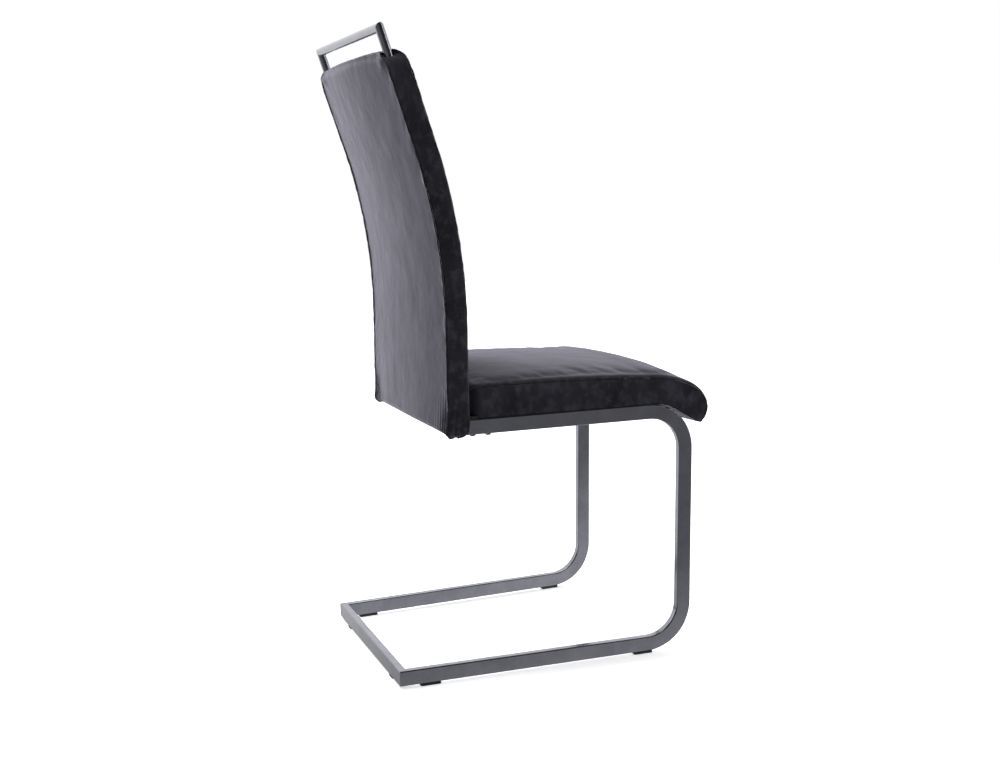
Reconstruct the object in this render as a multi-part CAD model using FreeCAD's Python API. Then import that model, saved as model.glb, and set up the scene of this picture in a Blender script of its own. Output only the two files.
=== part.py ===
import math
import os

import FreeCAD
import Part

# Cantilever dining chair: a bent steel base, a padded seat and a tall padded back with a grab handle.
# Sizes are in millimetres. +Z is up, the sitter faces -Y and the sitter's right side is at -X.
# Until the last step Y is counted from the front of the two posts.

V = FreeCAD.Vector

# Flat-sided tube of the base
TUBE_TALL = 25.0
TUBE_THIN = 13.0
TUBE_WALL = 1.5
TUBE_EDGE_R = 2.0
BEND_R = 66.0

# Base, measured over the outside of the tubes
BASE_DEPTH = 514.0
BASE_FRONT_W = 403.0
BASE_REAR_W = 364.0
RAIL_TOP = 429.5
RAIL_FALL_DEG = 0.6
RAIL_LENGTH = 424.0
CROSS_FRONT_Y = 102.0
CROSS_REAR_Y = 325.0
PLUG_FLANGE = 3.0
PLUG_DEPTH = 14.0

# Plastic glides under the base
GLIDE_T = 4.0
GLIDE_LENGTH = 34.0
GLIDE_INSET = 0.2
GLIDE_EDGE_R = 3.0
GLIDE_FRONT_Y = 87.0
GLIDE_REAR_INSET = 52.0
REAR_GLIDE_LENGTH = 20.0
REAR_GLIDE_INSET = 1.5
REAR_GLIDE_X = 125.0
PEG_R = 3.5
PEG_LENGTH = 9.0

# Seat, in the plane of the rails: heights count from the rails' top
SEAT_FRONT_W = 410.0
SEAT_REAR_W = 378.0
SEAT_BACK_GAP = 5.5
SEAT_CORNER_R = 16.0
SEAT_DRAWN_IN = 2.5
SEAT_REAR_T = 55.0
SEAT_FRONT_T = 49.0
SEAT_FRONT_Y = 84.0
SEAT_TOP_BOW = 4.0
SEAT_CROWN = 7.0
SHOULDER_Y = -1.5
SHOULDER_Z = 30.0
SHOULDER_BOW = 5.3
NOSE_REACH = 30.0
NOSE_DROP = 6.0
NOSE_BOW = 4.6
NOSE_CROWN = 3.0
LIP_REACH = 12.5
LIP_DROP = 38.0
LIP_BOW = 4.2
LIP_SAG = 5.0
HEEL_Y = 66.0
HEEL_BOW = 3.6
KNEE_Y = 21.0
KNEE_DROP = 18.5
BOARD_T = 10.0
BOARD_FRONT_Y = 4.0
HEM_W = 18.0
DUST_T = 0.8

# Back, along a middle line that stands upright, bends and leans back
RAIL_PAST_MIDDLE = 9.0
BACK_BOTTOM = 400.0
BACK_BEND_Z = 569.0
BACK_BEND_R = 880.0
BACK_LEAN_DEG = 18.6
BACK_TOP = 981.5
BACK_T = 41.0
BACK_FOOT_INSET = 2.5
BACK_TAPER = 12.0
BACK_DRAWN_IN = 2.5
BACK_CORNER_R = 20.0
BACK_FRONT_CROWN = 4.0
BACK_REAR_CROWN = 4.0
BACK_TOP_CROWN = 5.0
BACK_FRONT_ROUND = 24.0
BACK_REAR_ROUND = 4.0
BACK_FOOT_ROUND = 9.0
CORE_T = 14.0
CORE_INSET = 5.0
CORE_FOOT_W = 316.0
CORE_TOP_COVER = 13.0
CORE_BOTTOM_COVER = 3.0

# Covers and their clearances
COVER_T = 1.2
SOFT_GAP = 0.3
FIT_GAP = 0.05
SLOT_GAP = 1.0
BORE_SPARE = 1.0

# Brackets between the rails and the back
BRACKET_T = 5.0
BRACKET_W = 24.0
BRACKET_LENGTH = 77.0
BRACKET_HEIGHT = 85.0

# Bolts up through the rails, and screws
BOLT_R = 3.0
BOLT_HOLE_R = 3.3
BOLT_HEAD_R = 5.25
BOLT_HEAD_T = 3.0
BOLT_HEAD_ROUND = 1.8
BOLT_INSETS = (63.5, 38.0)
BOLT_REAR_INSET = 19.5
SCREW_R = 2.25
SCREW_HOLE_R = 2.6
SCREW_HEAD_R = 4.5
SCREW_HEAD_T = 2.5
SCREW_GRIP = 8.0
SCREW_X = 110.0
BRACKET_SCREW_RISE = (32.0, 68.0)

# Grab handle of round tube on top of the back
HANDLE_TOP = 1022.5
HANDLE_INSET = 11.0
HANDLE_TUBE_R = 7.0
HANDLE_OFFSET = 4.5
HANDLE_WALL = 1.5
HANDLE_PLUG_T = 12.0
STUD_R = 3.0
STUD_HOLE_R = 3.3
STUD_DEPTH = 46.0
BARREL_R = 4.5
BARREL_LENGTH = 9.0
BARREL_DEPTH = 38.0

# Sections of the padded bodies, from side to side as shares of the half width
SECTION_SHARES = (-1.05, -0.6, 0.0, 0.6, 1.05)

# Longer than anything on the chair
FAR = 1500.0

# Worked out from the sizes above
TOE = math.atan((BASE_FRONT_W - BASE_REAR_W) / 2 / BASE_DEPTH)
FALL = math.radians(RAIL_FALL_DEG)
BACK_Y = RAIL_LENGTH - RAIL_PAST_MIDDLE
BACK_BOTTOM_W = BASE_FRONT_W - 2 * BACK_FOOT_INSET
BACK_TOP_W = BACK_BOTTOM_W - BACK_TAPER
CORE_W = BACK_TOP_W - 2 * CORE_INSET
HANDLE_W = BACK_TOP_W - 2 * HANDLE_INSET
SEAT_REAR_Y = BACK_Y - BACK_T / 2 - SEAT_BACK_GAP
BRACKET_FRONT_Y = RAIL_LENGTH - BRACKET_LENGTH
BOLT_REAR_Y = RAIL_LENGTH - BOLT_REAR_INSET
BOLT_Y = tuple(RAIL_LENGTH - inset for inset in BOLT_INSETS)
LEAN = math.radians(BACK_LEAN_DEG)
BEND_START = BACK_BEND_Z - BACK_BOTTOM
BEND_LENGTH = BACK_BEND_R * LEAN
LEAN_Y = BACK_Y + BACK_BEND_R * (1 - math.cos(LEAN))
LEAN_Z = BACK_BEND_Z + BACK_BEND_R * math.sin(LEAN)
LEAN_LENGTH = (BACK_TOP - LEAN_Z) / math.cos(LEAN)
HANDLE_X = HANDLE_W / 2 - HANDLE_TUBE_R
HANDLE_RISE = (HANDLE_TOP - HANDLE_TUBE_R - LEAN_Z + HANDLE_OFFSET * math.sin(LEAN)) / math.cos(LEAN)
CORE_RISE = LEAN_LENGTH - CORE_TOP_COVER
BOARD_LIFT = COVER_T + SOFT_GAP


# Outlines and simple bodies

def inset_corners(corners, inset):
    """Moves every side of a closed outline, listed anticlockwise, inward by inset."""
    moved = []
    count = len(corners)
    for i, (a, b) in enumerate(corners):
        before = corners[i - 1]
        after = corners[(i + 1) % count]
        normal_in = inward_normal(before, (a, b))
        normal_out = inward_normal((a, b), after)
        share = inset / (1 + normal_in[0] * normal_out[0] + normal_in[1] * normal_out[1])
        moved.append((a + share * (normal_in[0] + normal_out[0]), b + share * (normal_in[1] + normal_out[1])))
    return moved


def inward_normal(start, end):
    length = math.hypot(end[0] - start[0], end[1] - start[1])
    return (start[1] - end[1]) / length, (end[0] - start[0]) / length


def bowed_outline(corners, bows, place):
    """Closed wire through the corners; a side with a bow is an arc that swells outward by it."""
    edges = []
    for i, start in enumerate(corners):
        end = corners[(i + 1) % len(corners)]
        if bows[i] == 0:
            edges.append(Part.makeLine(place(*start), place(*end)))
            continue
        normal = inward_normal(start, end)
        middle_a = (start[0] + end[0]) / 2 - bows[i] * normal[0]
        middle_b = (start[1] + end[1]) / 2 - bows[i] * normal[1]
        middle = (middle_a, middle_b)
        edges.append(Part.Arc(place(*start), place(*middle), place(*end)).toShape())
    return Part.Wire(edges)


def upright_prism(corners, bows, low, high):
    """Body with a plan outline in X and Y, between two heights."""
    outline = bowed_outline(corners, bows, lambda x, y: V(x, y, low))
    return Part.Face(outline).extrude(V(0, 0, high - low))


def side_prism(corners, bows, width):
    """Body with a side outline in Y and Z, as wide as told and centred on X = 0."""
    outline = bowed_outline(corners, bows, lambda y, z: V(-width / 2, y, z))
    return Part.Face(outline).extrude(V(width, 0, 0))


def rounded_rectangle(width, height, radius):
    """Outline in X and Z, centred on the origin."""
    arcs = []
    for quarter in range(4):
        turn = math.pi / 2 * quarter
        side_x = math.copysign(1, math.cos(turn + math.pi / 4))
        side_z = math.copysign(1, math.sin(turn + math.pi / 4))
        centre = V(side_x * (width / 2 - radius), 0, side_z * (height / 2 - radius))
        angles = (turn, turn + math.pi / 4, turn + math.pi / 2)
        arcs.append([centre + V(radius * math.cos(a), 0, radius * math.sin(a)) for a in angles])
    edges = []
    for i, arc in enumerate(arcs):
        following = arcs[(i + 1) % len(arcs)]
        edges.append(Part.Arc(*arc).toShape())
        edges.append(Part.makeLine(arc[2], following[0]))
    return Part.Wire(edges)


def box_between(low, high):
    size = high - low
    return Part.makeBox(size.x, size.y, size.z, low)


def half_space(point, normal):
    """Block that starts at a plane and fills the side that the normal points to."""
    block = Part.makeBox(2 * FAR, 2 * FAR, FAR, V(-FAR, -FAR, 0))
    block.Placement = FreeCAD.Placement(point, FreeCAD.Rotation(V(0, 0, 1), normal))
    return block


def rounded_path(points, radius):
    """Wire of straight runs joined by tangent arcs."""
    edges = []
    start = points[0]
    for before, corner, after in zip(points, points[1:], points[2:]):
        into = (corner - before).normalize()
        out = (after - corner).normalize()
        turn = into.getAngle(out)
        reach = radius * math.tan(turn / 2)
        arc_start = corner - into * reach
        arc_end = corner + out * reach
        inward = (out - into).normalize()
        middle = corner + inward * (radius / math.cos(turn / 2) - radius)
        edges.append(Part.makeLine(start, arc_start))
        edges.append(Part.Arc(arc_start, middle, arc_end).toShape())
        start = arc_end
    edges.append(Part.makeLine(start, points[-1]))
    return Part.Wire(edges)


def mirrored(shape):
    return shape.mirror(V(0, 0, 0), V(1, 0, 0))


def both_sides(shape):
    return [shape, mirrored(shape)]


def cut_all(shape, tools):
    for tool in tools:
        shape = shape.cut(tool)
    return shape


# Where things go

def on_rails(shape):
    """From the seat's own frame, level with the rails' top, to the chair's."""
    placed = shape.copy()
    tilt = FreeCAD.Rotation(V(1, 0, 0), -RAIL_FALL_DEG)
    placed.Placement = FreeCAD.Placement(V(0, 0, RAIL_TOP), tilt).multiply(placed.Placement)
    return placed


def on_lean(shape):
    """From the leaning top of the back, whose Z runs up it, to the chair's frame."""
    placed = shape.copy()
    tilt = FreeCAD.Rotation(V(1, 0, 0), -BACK_LEAN_DEG)
    placed.Placement = FreeCAD.Placement(V(0, LEAN_Y, LEAN_Z), tilt).multiply(placed.Placement)
    return placed


def on_right_side(shape):
    """From a side tube's own plane to the right side, where it runs in towards the rear."""
    placed = shape.copy()
    turn = FreeCAD.Rotation(V(0, 0, 1), -math.degrees(TOE))
    front = V(-(BASE_FRONT_W / 2 - TUBE_THIN / 2 / math.cos(TOE)), 0, 0)
    placed.Placement = FreeCAD.Placement(front, turn).multiply(placed.Placement)
    return placed


def rail_x(y):
    """X of the right rail's middle."""
    return -(BASE_FRONT_W / 2 - TUBE_THIN / 2 / math.cos(TOE)) + y * math.tan(TOE)


# Base

def flat_tube(path):
    """Hollow tube along a path that starts along -Y."""
    start = path.Vertexes[0].Point
    outer = rounded_rectangle(TUBE_THIN, TUBE_TALL, TUBE_EDGE_R)
    bore = rounded_rectangle(TUBE_THIN - 2 * TUBE_WALL, TUBE_TALL - 2 * TUBE_WALL, TUBE_EDGE_R / 2)
    bodies = []
    for section in (outer, bore):
        section.translate(start)
        bodies.append(path.makePipeShell([section], True, False))
    return bodies[0].cut(bodies[1])


def cross_tube(length):
    """Straight hollow tube along X, lying flat, centred on the origin."""
    tube = flat_tube(Part.Wire([Part.makeLine(V(0, length / 2, 0), V(0, -length / 2, 0))]))
    tube.rotate(V(0, 0, 0), V(0, 0, 1), 90)
    tube.rotate(V(0, 0, 0), V(1, 0, 0), 90)
    return tube


def mitre():
    """Outer corner and normal of the cut between the right side tube and the floor tube."""
    outer = V(-BASE_REAR_W / 2, BASE_DEPTH, 0)
    along = V(math.sin(TOE), math.cos(TOE), 0)
    across = V(math.cos(TOE), -math.sin(TOE), 0)
    back = TUBE_THIN * (math.sin(TOE) - 1) / math.cos(TOE)
    cut_line = across * TUBE_THIN + along * back
    return outer, V(-cut_line.y, cut_line.x, 0)


def bolt_places():
    """Where the bolts go up through the right rail, in the seat's frame."""
    return [(rail_x(y), y) for y in BOLT_Y + (BOLT_REAR_Y,)]


def bolt_bores():
    length = TUBE_TALL + 2 * BORE_SPARE
    starts = [V(x, y, BORE_SPARE - length) for x, y in bolt_places()]
    bores = [Part.makeCylinder(BOLT_HOLE_R, length, start) for start in starts]
    return [on_rails(bore) for bore in bores]


def rail_middle(along):
    """A point on the middle line of a seat rail, in its side tube's plane."""
    height = RAIL_TOP - FIT_GAP - TUBE_TALL / 2 / math.cos(FALL)
    return V(0, along, height - along * math.cos(TOE) * math.tan(FALL))


def right_side_tube():
    low = GLIDE_T + TUBE_TALL / 2
    front = TUBE_TALL / 2
    rail_end = rail_middle(RAIL_LENGTH / math.cos(TOE))
    points = [V(0, BASE_DEPTH + TUBE_TALL, low), V(0, front, low), rail_middle(front), rail_end]
    tube = on_right_side(flat_tube(rounded_path(points, BEND_R)))
    corner, normal = mitre()
    tube = tube.cut(half_space(corner, normal))
    return cut_all(tube, bolt_bores() + [peg_bore(place) for place in glide_places()])


def rear_floor_tube():
    tube = cross_tube(BASE_REAR_W + 2 * TUBE_TALL)
    tube.rotate(V(0, 0, 0), V(1, 0, 0), 90)
    tube.translate(V(0, BASE_DEPTH - TUBE_THIN / 2, GLIDE_T + TUBE_TALL / 2))
    corner, normal = mitre()
    end = half_space(corner, normal * -1)
    tube = cut_all(tube, both_sides(end))
    return cut_all(tube, both_sides(peg_bore(rear_glide_place())))


def seat_cross_tube(y):
    """Tube under the seat board, welded between the side tubes."""
    tube = cross_tube(BASE_FRONT_W)
    tube.translate(V(0, y, -TUBE_THIN / 2))
    tube = on_rails(tube)
    inner_face = V(rail_x(0) + TUBE_THIN / 2 / math.cos(TOE) + FIT_GAP, 0, 0)
    outside = half_space(inner_face, V(-math.cos(TOE), math.sin(TOE), 0))
    tube = cut_all(tube, both_sides(outside))
    bore = Part.makeCylinder(SCREW_HOLE_R, 2 * TUBE_THIN, V(SCREW_X, y, -1.5 * TUBE_THIN))
    return cut_all(tube, both_sides(on_rails(bore)))


def rail_end_plugs():
    """Plastic plugs in the rear ends of the seat rails."""
    flange = Part.Face(rounded_rectangle(TUBE_THIN, TUBE_TALL, TUBE_EDGE_R)).extrude(V(0, PLUG_FLANGE, 0))
    clearance = 2 * TUBE_WALL + 2 * FIT_GAP
    stem_outline = rounded_rectangle(TUBE_THIN - clearance, TUBE_TALL - clearance, TUBE_EDGE_R / 2)
    stem = Part.Face(stem_outline).extrude(V(0, -PLUG_DEPTH, 0))
    plug = flange.fuse(stem).removeSplitter()
    plug.rotate(V(0, 0, 0), V(1, 0, 0), -RAIL_FALL_DEG)
    plug.translate(rail_middle(RAIL_LENGTH / math.cos(TOE)))
    return both_sides(on_right_side(plug))


# Glides

def glide_places():
    """Right side: each glide's centre and the turn of its long side away from Y, in degrees."""
    return [(rail_x(y), y, -math.degrees(TOE)) for y in (GLIDE_FRONT_Y, BASE_DEPTH - GLIDE_REAR_INSET)]


def rear_glide_place():
    return -REAR_GLIDE_X, BASE_DEPTH - TUBE_THIN / 2, 90.0


def peg_bore(place):
    return Part.makeCylinder(PEG_R + FIT_GAP, 2 * TUBE_WALL, V(place[0], place[1], GLIDE_T - TUBE_WALL / 2))


def glide(place, length, inset):
    """Plastic pad inside the tube's width, with rounded corners and a peg that presses into the tube."""
    x, y, turn = place
    outline = rounded_rectangle(TUBE_THIN - 2 * inset, length, GLIDE_EDGE_R)
    pad = Part.Face(outline).extrude(V(0, GLIDE_T, 0))
    pad.rotate(V(0, 0, 0), V(1, 0, 0), 90)
    peg = Part.makeCylinder(PEG_R, PEG_LENGTH, V(0, 0, GLIDE_T))
    body = pad.fuse(peg)
    body.rotate(V(0, 0, 0), V(0, 0, 1), turn)
    body.translate(V(x, y, 0))
    return body


# Seat, built in its own frame

def seat_half_width(y):
    share = (y + NOSE_REACH) / (SEAT_REAR_Y + NOSE_REACH)
    return (SEAT_FRONT_W + (SEAT_REAR_W - SEAT_FRONT_W) * share) / 2


def seat_corners(crown):
    """Side outline of the padded seat: crown goes from 0 at the sides to 1 in the middle."""
    rear = SEAT_REAR_Y + SEAT_CORNER_R
    top = SEAT_CROWN * crown
    return [
        (rear, 0),
        (rear, SEAT_REAR_T + top),
        (SEAT_FRONT_Y, SEAT_FRONT_T + top),
        (SHOULDER_Y, SHOULDER_Z + top),
        (-NOSE_REACH - NOSE_CROWN * crown, -NOSE_DROP),
        (-LIP_REACH, -LIP_DROP - LIP_SAG * crown),
        (KNEE_Y, -KNEE_DROP - LIP_SAG * crown / 2),
        (HEEL_Y, 0),
    ]


SEAT_BOWS = (0, SEAT_TOP_BOW, SHOULDER_BOW, NOSE_BOW, LIP_BOW, 0, -HEEL_BOW, 0)


def seat_plan(inset, low, high):
    """Upright prism over the seat's plan: sides drawn in, rear corners rounded."""
    ahead = -NOSE_REACH - 2 * SEAT_CORNER_R
    front = seat_half_width(ahead)
    rear = seat_half_width(SEAT_REAR_Y)
    round_y = SEAT_REAR_Y - SEAT_CORNER_R
    corners = [
        (-front, ahead),
        (front, ahead),
        (seat_half_width(round_y), round_y),
        (rear - SEAT_CORNER_R, SEAT_REAR_Y),
        (SEAT_CORNER_R - rear, SEAT_REAR_Y),
        (-seat_half_width(round_y), round_y),
    ]
    round_bow = SEAT_CORNER_R * (1 - math.cos(math.pi / 4))
    bows = (0, -SEAT_DRAWN_IN, round_bow, 0, round_bow, -SEAT_DRAWN_IN)
    return upright_prism(inset_corners(corners, inset), bows, low, high)


def seat_body(inset):
    """The padded seat's outer shape, or one that lies inside it by inset."""
    sections = []
    for k in SECTION_SHARES:
        corners = inset_corners(seat_corners(1 - k * k), inset)
        sections.append(bowed_outline(corners, SEAT_BOWS, lambda y, z: V(k * seat_half_width(y), y, z)))
    body = Part.makeLoft(sections, True, False)
    return body.common(seat_plan(inset, -FAR, FAR))


def board_outline(thickness, gap):
    """Side outline of the seat board, grown by gap: flat, then bent down at the front."""
    slope = math.atan2(KNEE_DROP, HEEL_Y - KNEE_Y)
    drop = (KNEE_Y - BOARD_FRONT_Y) * math.tan(slope)
    rear = SEAT_REAR_Y - COVER_T
    chain = [(rear, 0), (HEEL_Y, 0), (KNEE_Y, -KNEE_DROP), (BOARD_FRONT_Y, -KNEE_DROP - drop)]
    turn = slope / 2
    under = [(y, z + BOARD_LIFT) for y, z in chain]
    over = [
        (under[3][0] - thickness * math.sin(slope), under[3][1] + thickness * math.cos(slope)),
        (under[2][0] - thickness * math.sin(slope), under[2][1] + thickness * math.cos(slope)),
        (under[1][0] - thickness * math.tan(turn), under[1][1] + thickness),
        (under[0][0], under[0][1] + thickness),
    ]
    corners = under[::-1] + over[::-1]
    return inset_corners(corners, -gap)


def board_prism(thickness, gap):
    bows = (0, -HEEL_BOW, 0, 0, 0, HEEL_BOW, 0, 0)
    return side_prism(board_outline(thickness, gap), bows, 2 * BASE_FRONT_W)


def bracket_leg(gap):
    """Foot of the right bracket, on the rail, in the seat's frame, grown by gap."""
    left = rail_x(BRACKET_FRONT_Y) - TUBE_THIN / 2
    low = V(left - gap, BRACKET_FRONT_Y - gap, FIT_GAP - gap)
    high = V(left + BRACKET_W + gap, BACK_Y + CORE_T + gap, BRACKET_T + FIT_GAP + gap)
    return box_between(low, high)


def seat_screw(x, y):
    """Screw up through a cross tube into the board, in the seat's frame."""
    under = -TUBE_THIN
    head = Part.makeCylinder(SCREW_HEAD_R, SCREW_HEAD_T, V(x, y, under - SCREW_HEAD_T))
    shank = Part.makeCylinder(SCREW_R, BOARD_LIFT + SCREW_GRIP - under, V(x, y, under))
    return head.fuse(shank)


def seat_screws():
    places = [(x, y) for x in (-SCREW_X, SCREW_X) for y in (CROSS_FRONT_Y, CROSS_REAR_Y)]
    return [seat_screw(x, y) for x, y in places]


def seat_board():
    board = board_prism(BOARD_T, 0).common(seat_plan(BOARD_LIFT, -FAR, FAR))
    return cut_all(board, seat_screws() + both_sides(bracket_leg(SOFT_GAP)) + both_sides_all(bolt_tips()))


def bolt_tips():
    """Room for the bolts where they end in the brackets."""
    tip = BRACKET_T + FIT_GAP + SOFT_GAP
    return [Part.makeCylinder(BOLT_HOLE_R, tip, V(x, y, 0)) for x, y in bolt_places()]


def both_sides_all(shapes):
    return [side for shape in shapes for side in both_sides(shape)]


def seat_foam():
    below = board_prism(BOARD_T, SOFT_GAP)
    return seat_body(BOARD_LIFT).cut(below).cut(under_board())


def under_board():
    """Everything under the flat of the board and behind the bent front."""
    return box_between(V(-FAR, HEEL_Y, -FAR), V(FAR, FAR, BOARD_LIFT + BOARD_T / 2))


def seat_cover():
    """Sewn cover, turned under the board's edge as a hem."""
    shell = seat_body(0).cut(seat_body(COVER_T))
    opening = seat_plan(HEM_W, -TUBE_THIN, COVER_T + SOFT_GAP)
    opening = opening.cut(box_between(V(-FAR, -FAR, -FAR), V(FAR, HEEL_Y + HEM_W / 2, FAR)))
    return cut_all(shell, [opening] + both_sides(bracket_leg(SOFT_GAP)))


def seat_dust_cover():
    """Thin black cloth that closes the underside of the seat."""
    cloth = seat_plan(HEM_W + SOFT_GAP, BOARD_LIFT - DUST_T, BOARD_LIFT)
    cloth = cloth.cut(box_between(V(-FAR, -FAR, -FAR), V(FAR, HEEL_Y + HEM_W / 2 + SOFT_GAP, FAR)))
    return cut_all(cloth, seat_screws() + both_sides(bracket_leg(SOFT_GAP)))


# Back

def back_point(station, offset):
    """Y and Z at a length along the middle line, offset towards the rear."""
    if station <= BEND_START:
        return BACK_Y + offset, BACK_BOTTOM + station
    turn = min(station - BEND_START, BEND_LENGTH) / BACK_BEND_R
    y = BACK_Y + BACK_BEND_R - (BACK_BEND_R - offset) * math.cos(turn)
    z = BACK_BEND_Z + (BACK_BEND_R - offset) * math.sin(turn)
    rest = max(station - BEND_START - BEND_LENGTH, 0)
    return y + rest * math.sin(LEAN), z + rest * math.cos(LEAN)


def bend_bow(offset):
    return (BACK_BEND_R - offset) * (1 - math.cos(LEAN / 2))


def corner_bow(radius):
    return radius * (1 - math.cos(math.pi / 4))


def back_layer(front, rear, bottom, top):
    """Full-width body between two offsets from the middle line and two stations along it."""
    bend_end = BEND_START + BEND_LENGTH
    stations = (bottom, BEND_START, bend_end, top)
    corners = [back_point(s, rear) for s in stations] + [back_point(s, front) for s in stations[::-1]]
    bows = (0, -bend_bow(rear), 0, 0, 0, bend_bow(front), 0, 0)
    return side_prism(corners, bows, 2 * BASE_FRONT_W)


def back_outline(crown, inset, x):
    """Side outline of the padded back at one X, with rounded top and foot."""
    rear = BACK_T / 2 + BACK_REAR_CROWN * crown - inset
    front = -BACK_T / 2 - BACK_FRONT_CROWN * crown + inset
    bend_end = BEND_START + BEND_LENGTH
    top = bend_end + LEAN_LENGTH + BACK_TOP_CROWN * crown - inset
    front_round = BACK_FRONT_ROUND - inset
    rear_round = BACK_REAR_ROUND - inset
    foot = BACK_FOOT_ROUND - inset
    corners = [
        back_point(inset, rear),
        back_point(BEND_START, rear),
        back_point(bend_end, rear),
        back_point(top - rear_round, rear),
        back_point(top, rear - rear_round),
        back_point(top, front + front_round),
        back_point(top - front_round, front),
        back_point(bend_end, front),
        back_point(BEND_START, front),
        back_point(inset + foot, front),
        back_point(inset, front + foot),
    ]
    bows = (0, -bend_bow(rear), 0, corner_bow(rear_round), 0, corner_bow(front_round))
    bows += (0, bend_bow(front), 0, corner_bow(foot), 0)
    return bowed_outline(corners, bows, lambda y, z: V(x, y, z))


def back_front_view(inset):
    """Prism along Y over the back seen from in front: tapered, with its sides drawn in."""
    low = BACK_BOTTOM_W / 2 - inset
    high = BACK_TOP_W / 2 - inset
    bottom = BACK_BOTTOM - BACK_T
    top = BACK_TOP + BACK_T
    corners = [(-low, bottom), (low, bottom), (high, top), (-high, top)]
    bows = (0, -BACK_DRAWN_IN, 0, -BACK_DRAWN_IN)
    outline = bowed_outline(corners, bows, lambda x, z: V(x, 0, z))
    return Part.Face(outline).extrude(V(0, FAR, 0))


def back_top_corners(inset):
    """Prism across the leaning top, with its two upper corners rounded."""
    top = LEAN_LENGTH + 2 * BACK_TOP_CROWN
    half = BACK_TOP_W / 2 - inset + BACK_DRAWN_IN
    radius = BACK_CORNER_R
    side = LEAN_LENGTH - inset - radius
    spread = half + BACK_CORNER_R
    corners = [(-spread, -FAR), (spread, -FAR), (half, side), (half - radius, side + radius)]
    corners += [(half - radius, top), (radius - half, top), (radius - half, side + radius), (-half, side)]
    bows = (0, 0, corner_bow(radius), 0, 0, 0, corner_bow(radius), 0)
    outline = bowed_outline(corners, bows, lambda x, z: V(x, -FAR / 2, z))
    return on_lean(Part.Face(outline).extrude(V(0, FAR, 0)))


def back_body(inset):
    """The padded back's outer shape, or one that lies inside it by inset."""
    half = BACK_BOTTOM_W / 2
    sections = [back_outline(1 - k * k, inset, k * half) for k in SECTION_SHARES]
    body = Part.makeLoft(sections, True, False)
    return body.common(back_front_view(inset)).common(back_top_corners(inset))


def rail_room():
    """Slot in the foot of the back for the right rail and its plug."""
    half = TUBE_THIN / 2 + SLOT_GAP
    low = V(-half, BACK_Y - 2 * BACK_T, RAIL_TOP - 2 * TUBE_TALL)
    high = V(half, RAIL_LENGTH + PLUG_FLANGE + SLOT_GAP, RAIL_TOP)
    return on_right_side(box_between(low, high))


def bracket_wall(gap):
    """Upright leg of the right bracket, against the front of the core, grown by gap."""
    left = rail_x(BRACKET_FRONT_Y) - TUBE_THIN / 2
    foot = RAIL_TOP - BACK_Y * math.tan(FALL) + BRACKET_T / 2
    low = V(left - gap, BACK_Y - BRACKET_T - gap, foot)
    high = V(left + BRACKET_W + gap, BACK_Y + gap, foot + BRACKET_HEIGHT + gap)
    return box_between(low, high)


def bolt():
    """Button-headed bolts of the right rail: head under the rail, thread in the bracket."""
    bodies = []
    for x, y in bolt_places():
        under = -TUBE_TALL - 2 * FIT_GAP
        head = Part.makeCylinder(BOLT_HEAD_R, BOLT_HEAD_T, V(x, y, under - BOLT_HEAD_T))
        rim = [edge for edge in head.Edges if edge.BoundBox.ZMax < under - BOLT_HEAD_T / 2]
        head = head.makeFillet(BOLT_HEAD_ROUND, rim)
        shank = Part.makeCylinder(BOLT_R, BRACKET_T + FIT_GAP - under, V(x, y, under))
        bodies.append(on_rails(head.fuse(shank)))
    return bodies


def bracket_screws():
    """Screws through the right bracket's upright leg into the core."""
    x = rail_x(BRACKET_FRONT_Y) - TUBE_THIN / 2 + BRACKET_W / 2
    face = BACK_Y - BRACKET_T
    bodies = []
    for rise in BRACKET_SCREW_RISE:
        z = RAIL_TOP + rise
        head = Part.makeCylinder(SCREW_HEAD_R, SCREW_HEAD_T, V(x, face - SCREW_HEAD_T, z), V(0, 1, 0))
        shank = Part.makeCylinder(SCREW_R, BRACKET_T + SCREW_GRIP, V(x, face, z), V(0, 1, 0))
        bodies.append(head.fuse(shank))
    return bodies


def right_bracket():
    """Steel angle that stands on the rail and holds the back."""
    body = on_rails(bracket_leg(0)).fuse(bracket_wall(0)).removeSplitter()
    return cut_all(body, bolt() + bracket_screws())


def screw_room():
    x = rail_x(BRACKET_FRONT_Y) - TUBE_THIN / 2 + BRACKET_W / 2
    front = BACK_Y - BRACKET_T - SCREW_HEAD_T - SOFT_GAP
    places = [V(x, front, RAIL_TOP + rise) for rise in BRACKET_SCREW_RISE]
    return [Part.makeCylinder(SCREW_HEAD_R + SOFT_GAP, BRACKET_T, place, V(0, 1, 0)) for place in places]


def foot_room():
    """What the padding of the back leaves free for the rails and brackets."""
    right = [rail_room(), on_rails(bracket_leg(SOFT_GAP)), bracket_wall(SOFT_GAP)] + screw_room()
    return both_sides_all(right)


def post_room(gap):
    """Room round the right handle post, in the leaning frame."""
    return Part.makeCylinder(HANDLE_TUBE_R + gap, FAR, V(-HANDLE_X, HANDLE_OFFSET, CORE_RISE))


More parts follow.
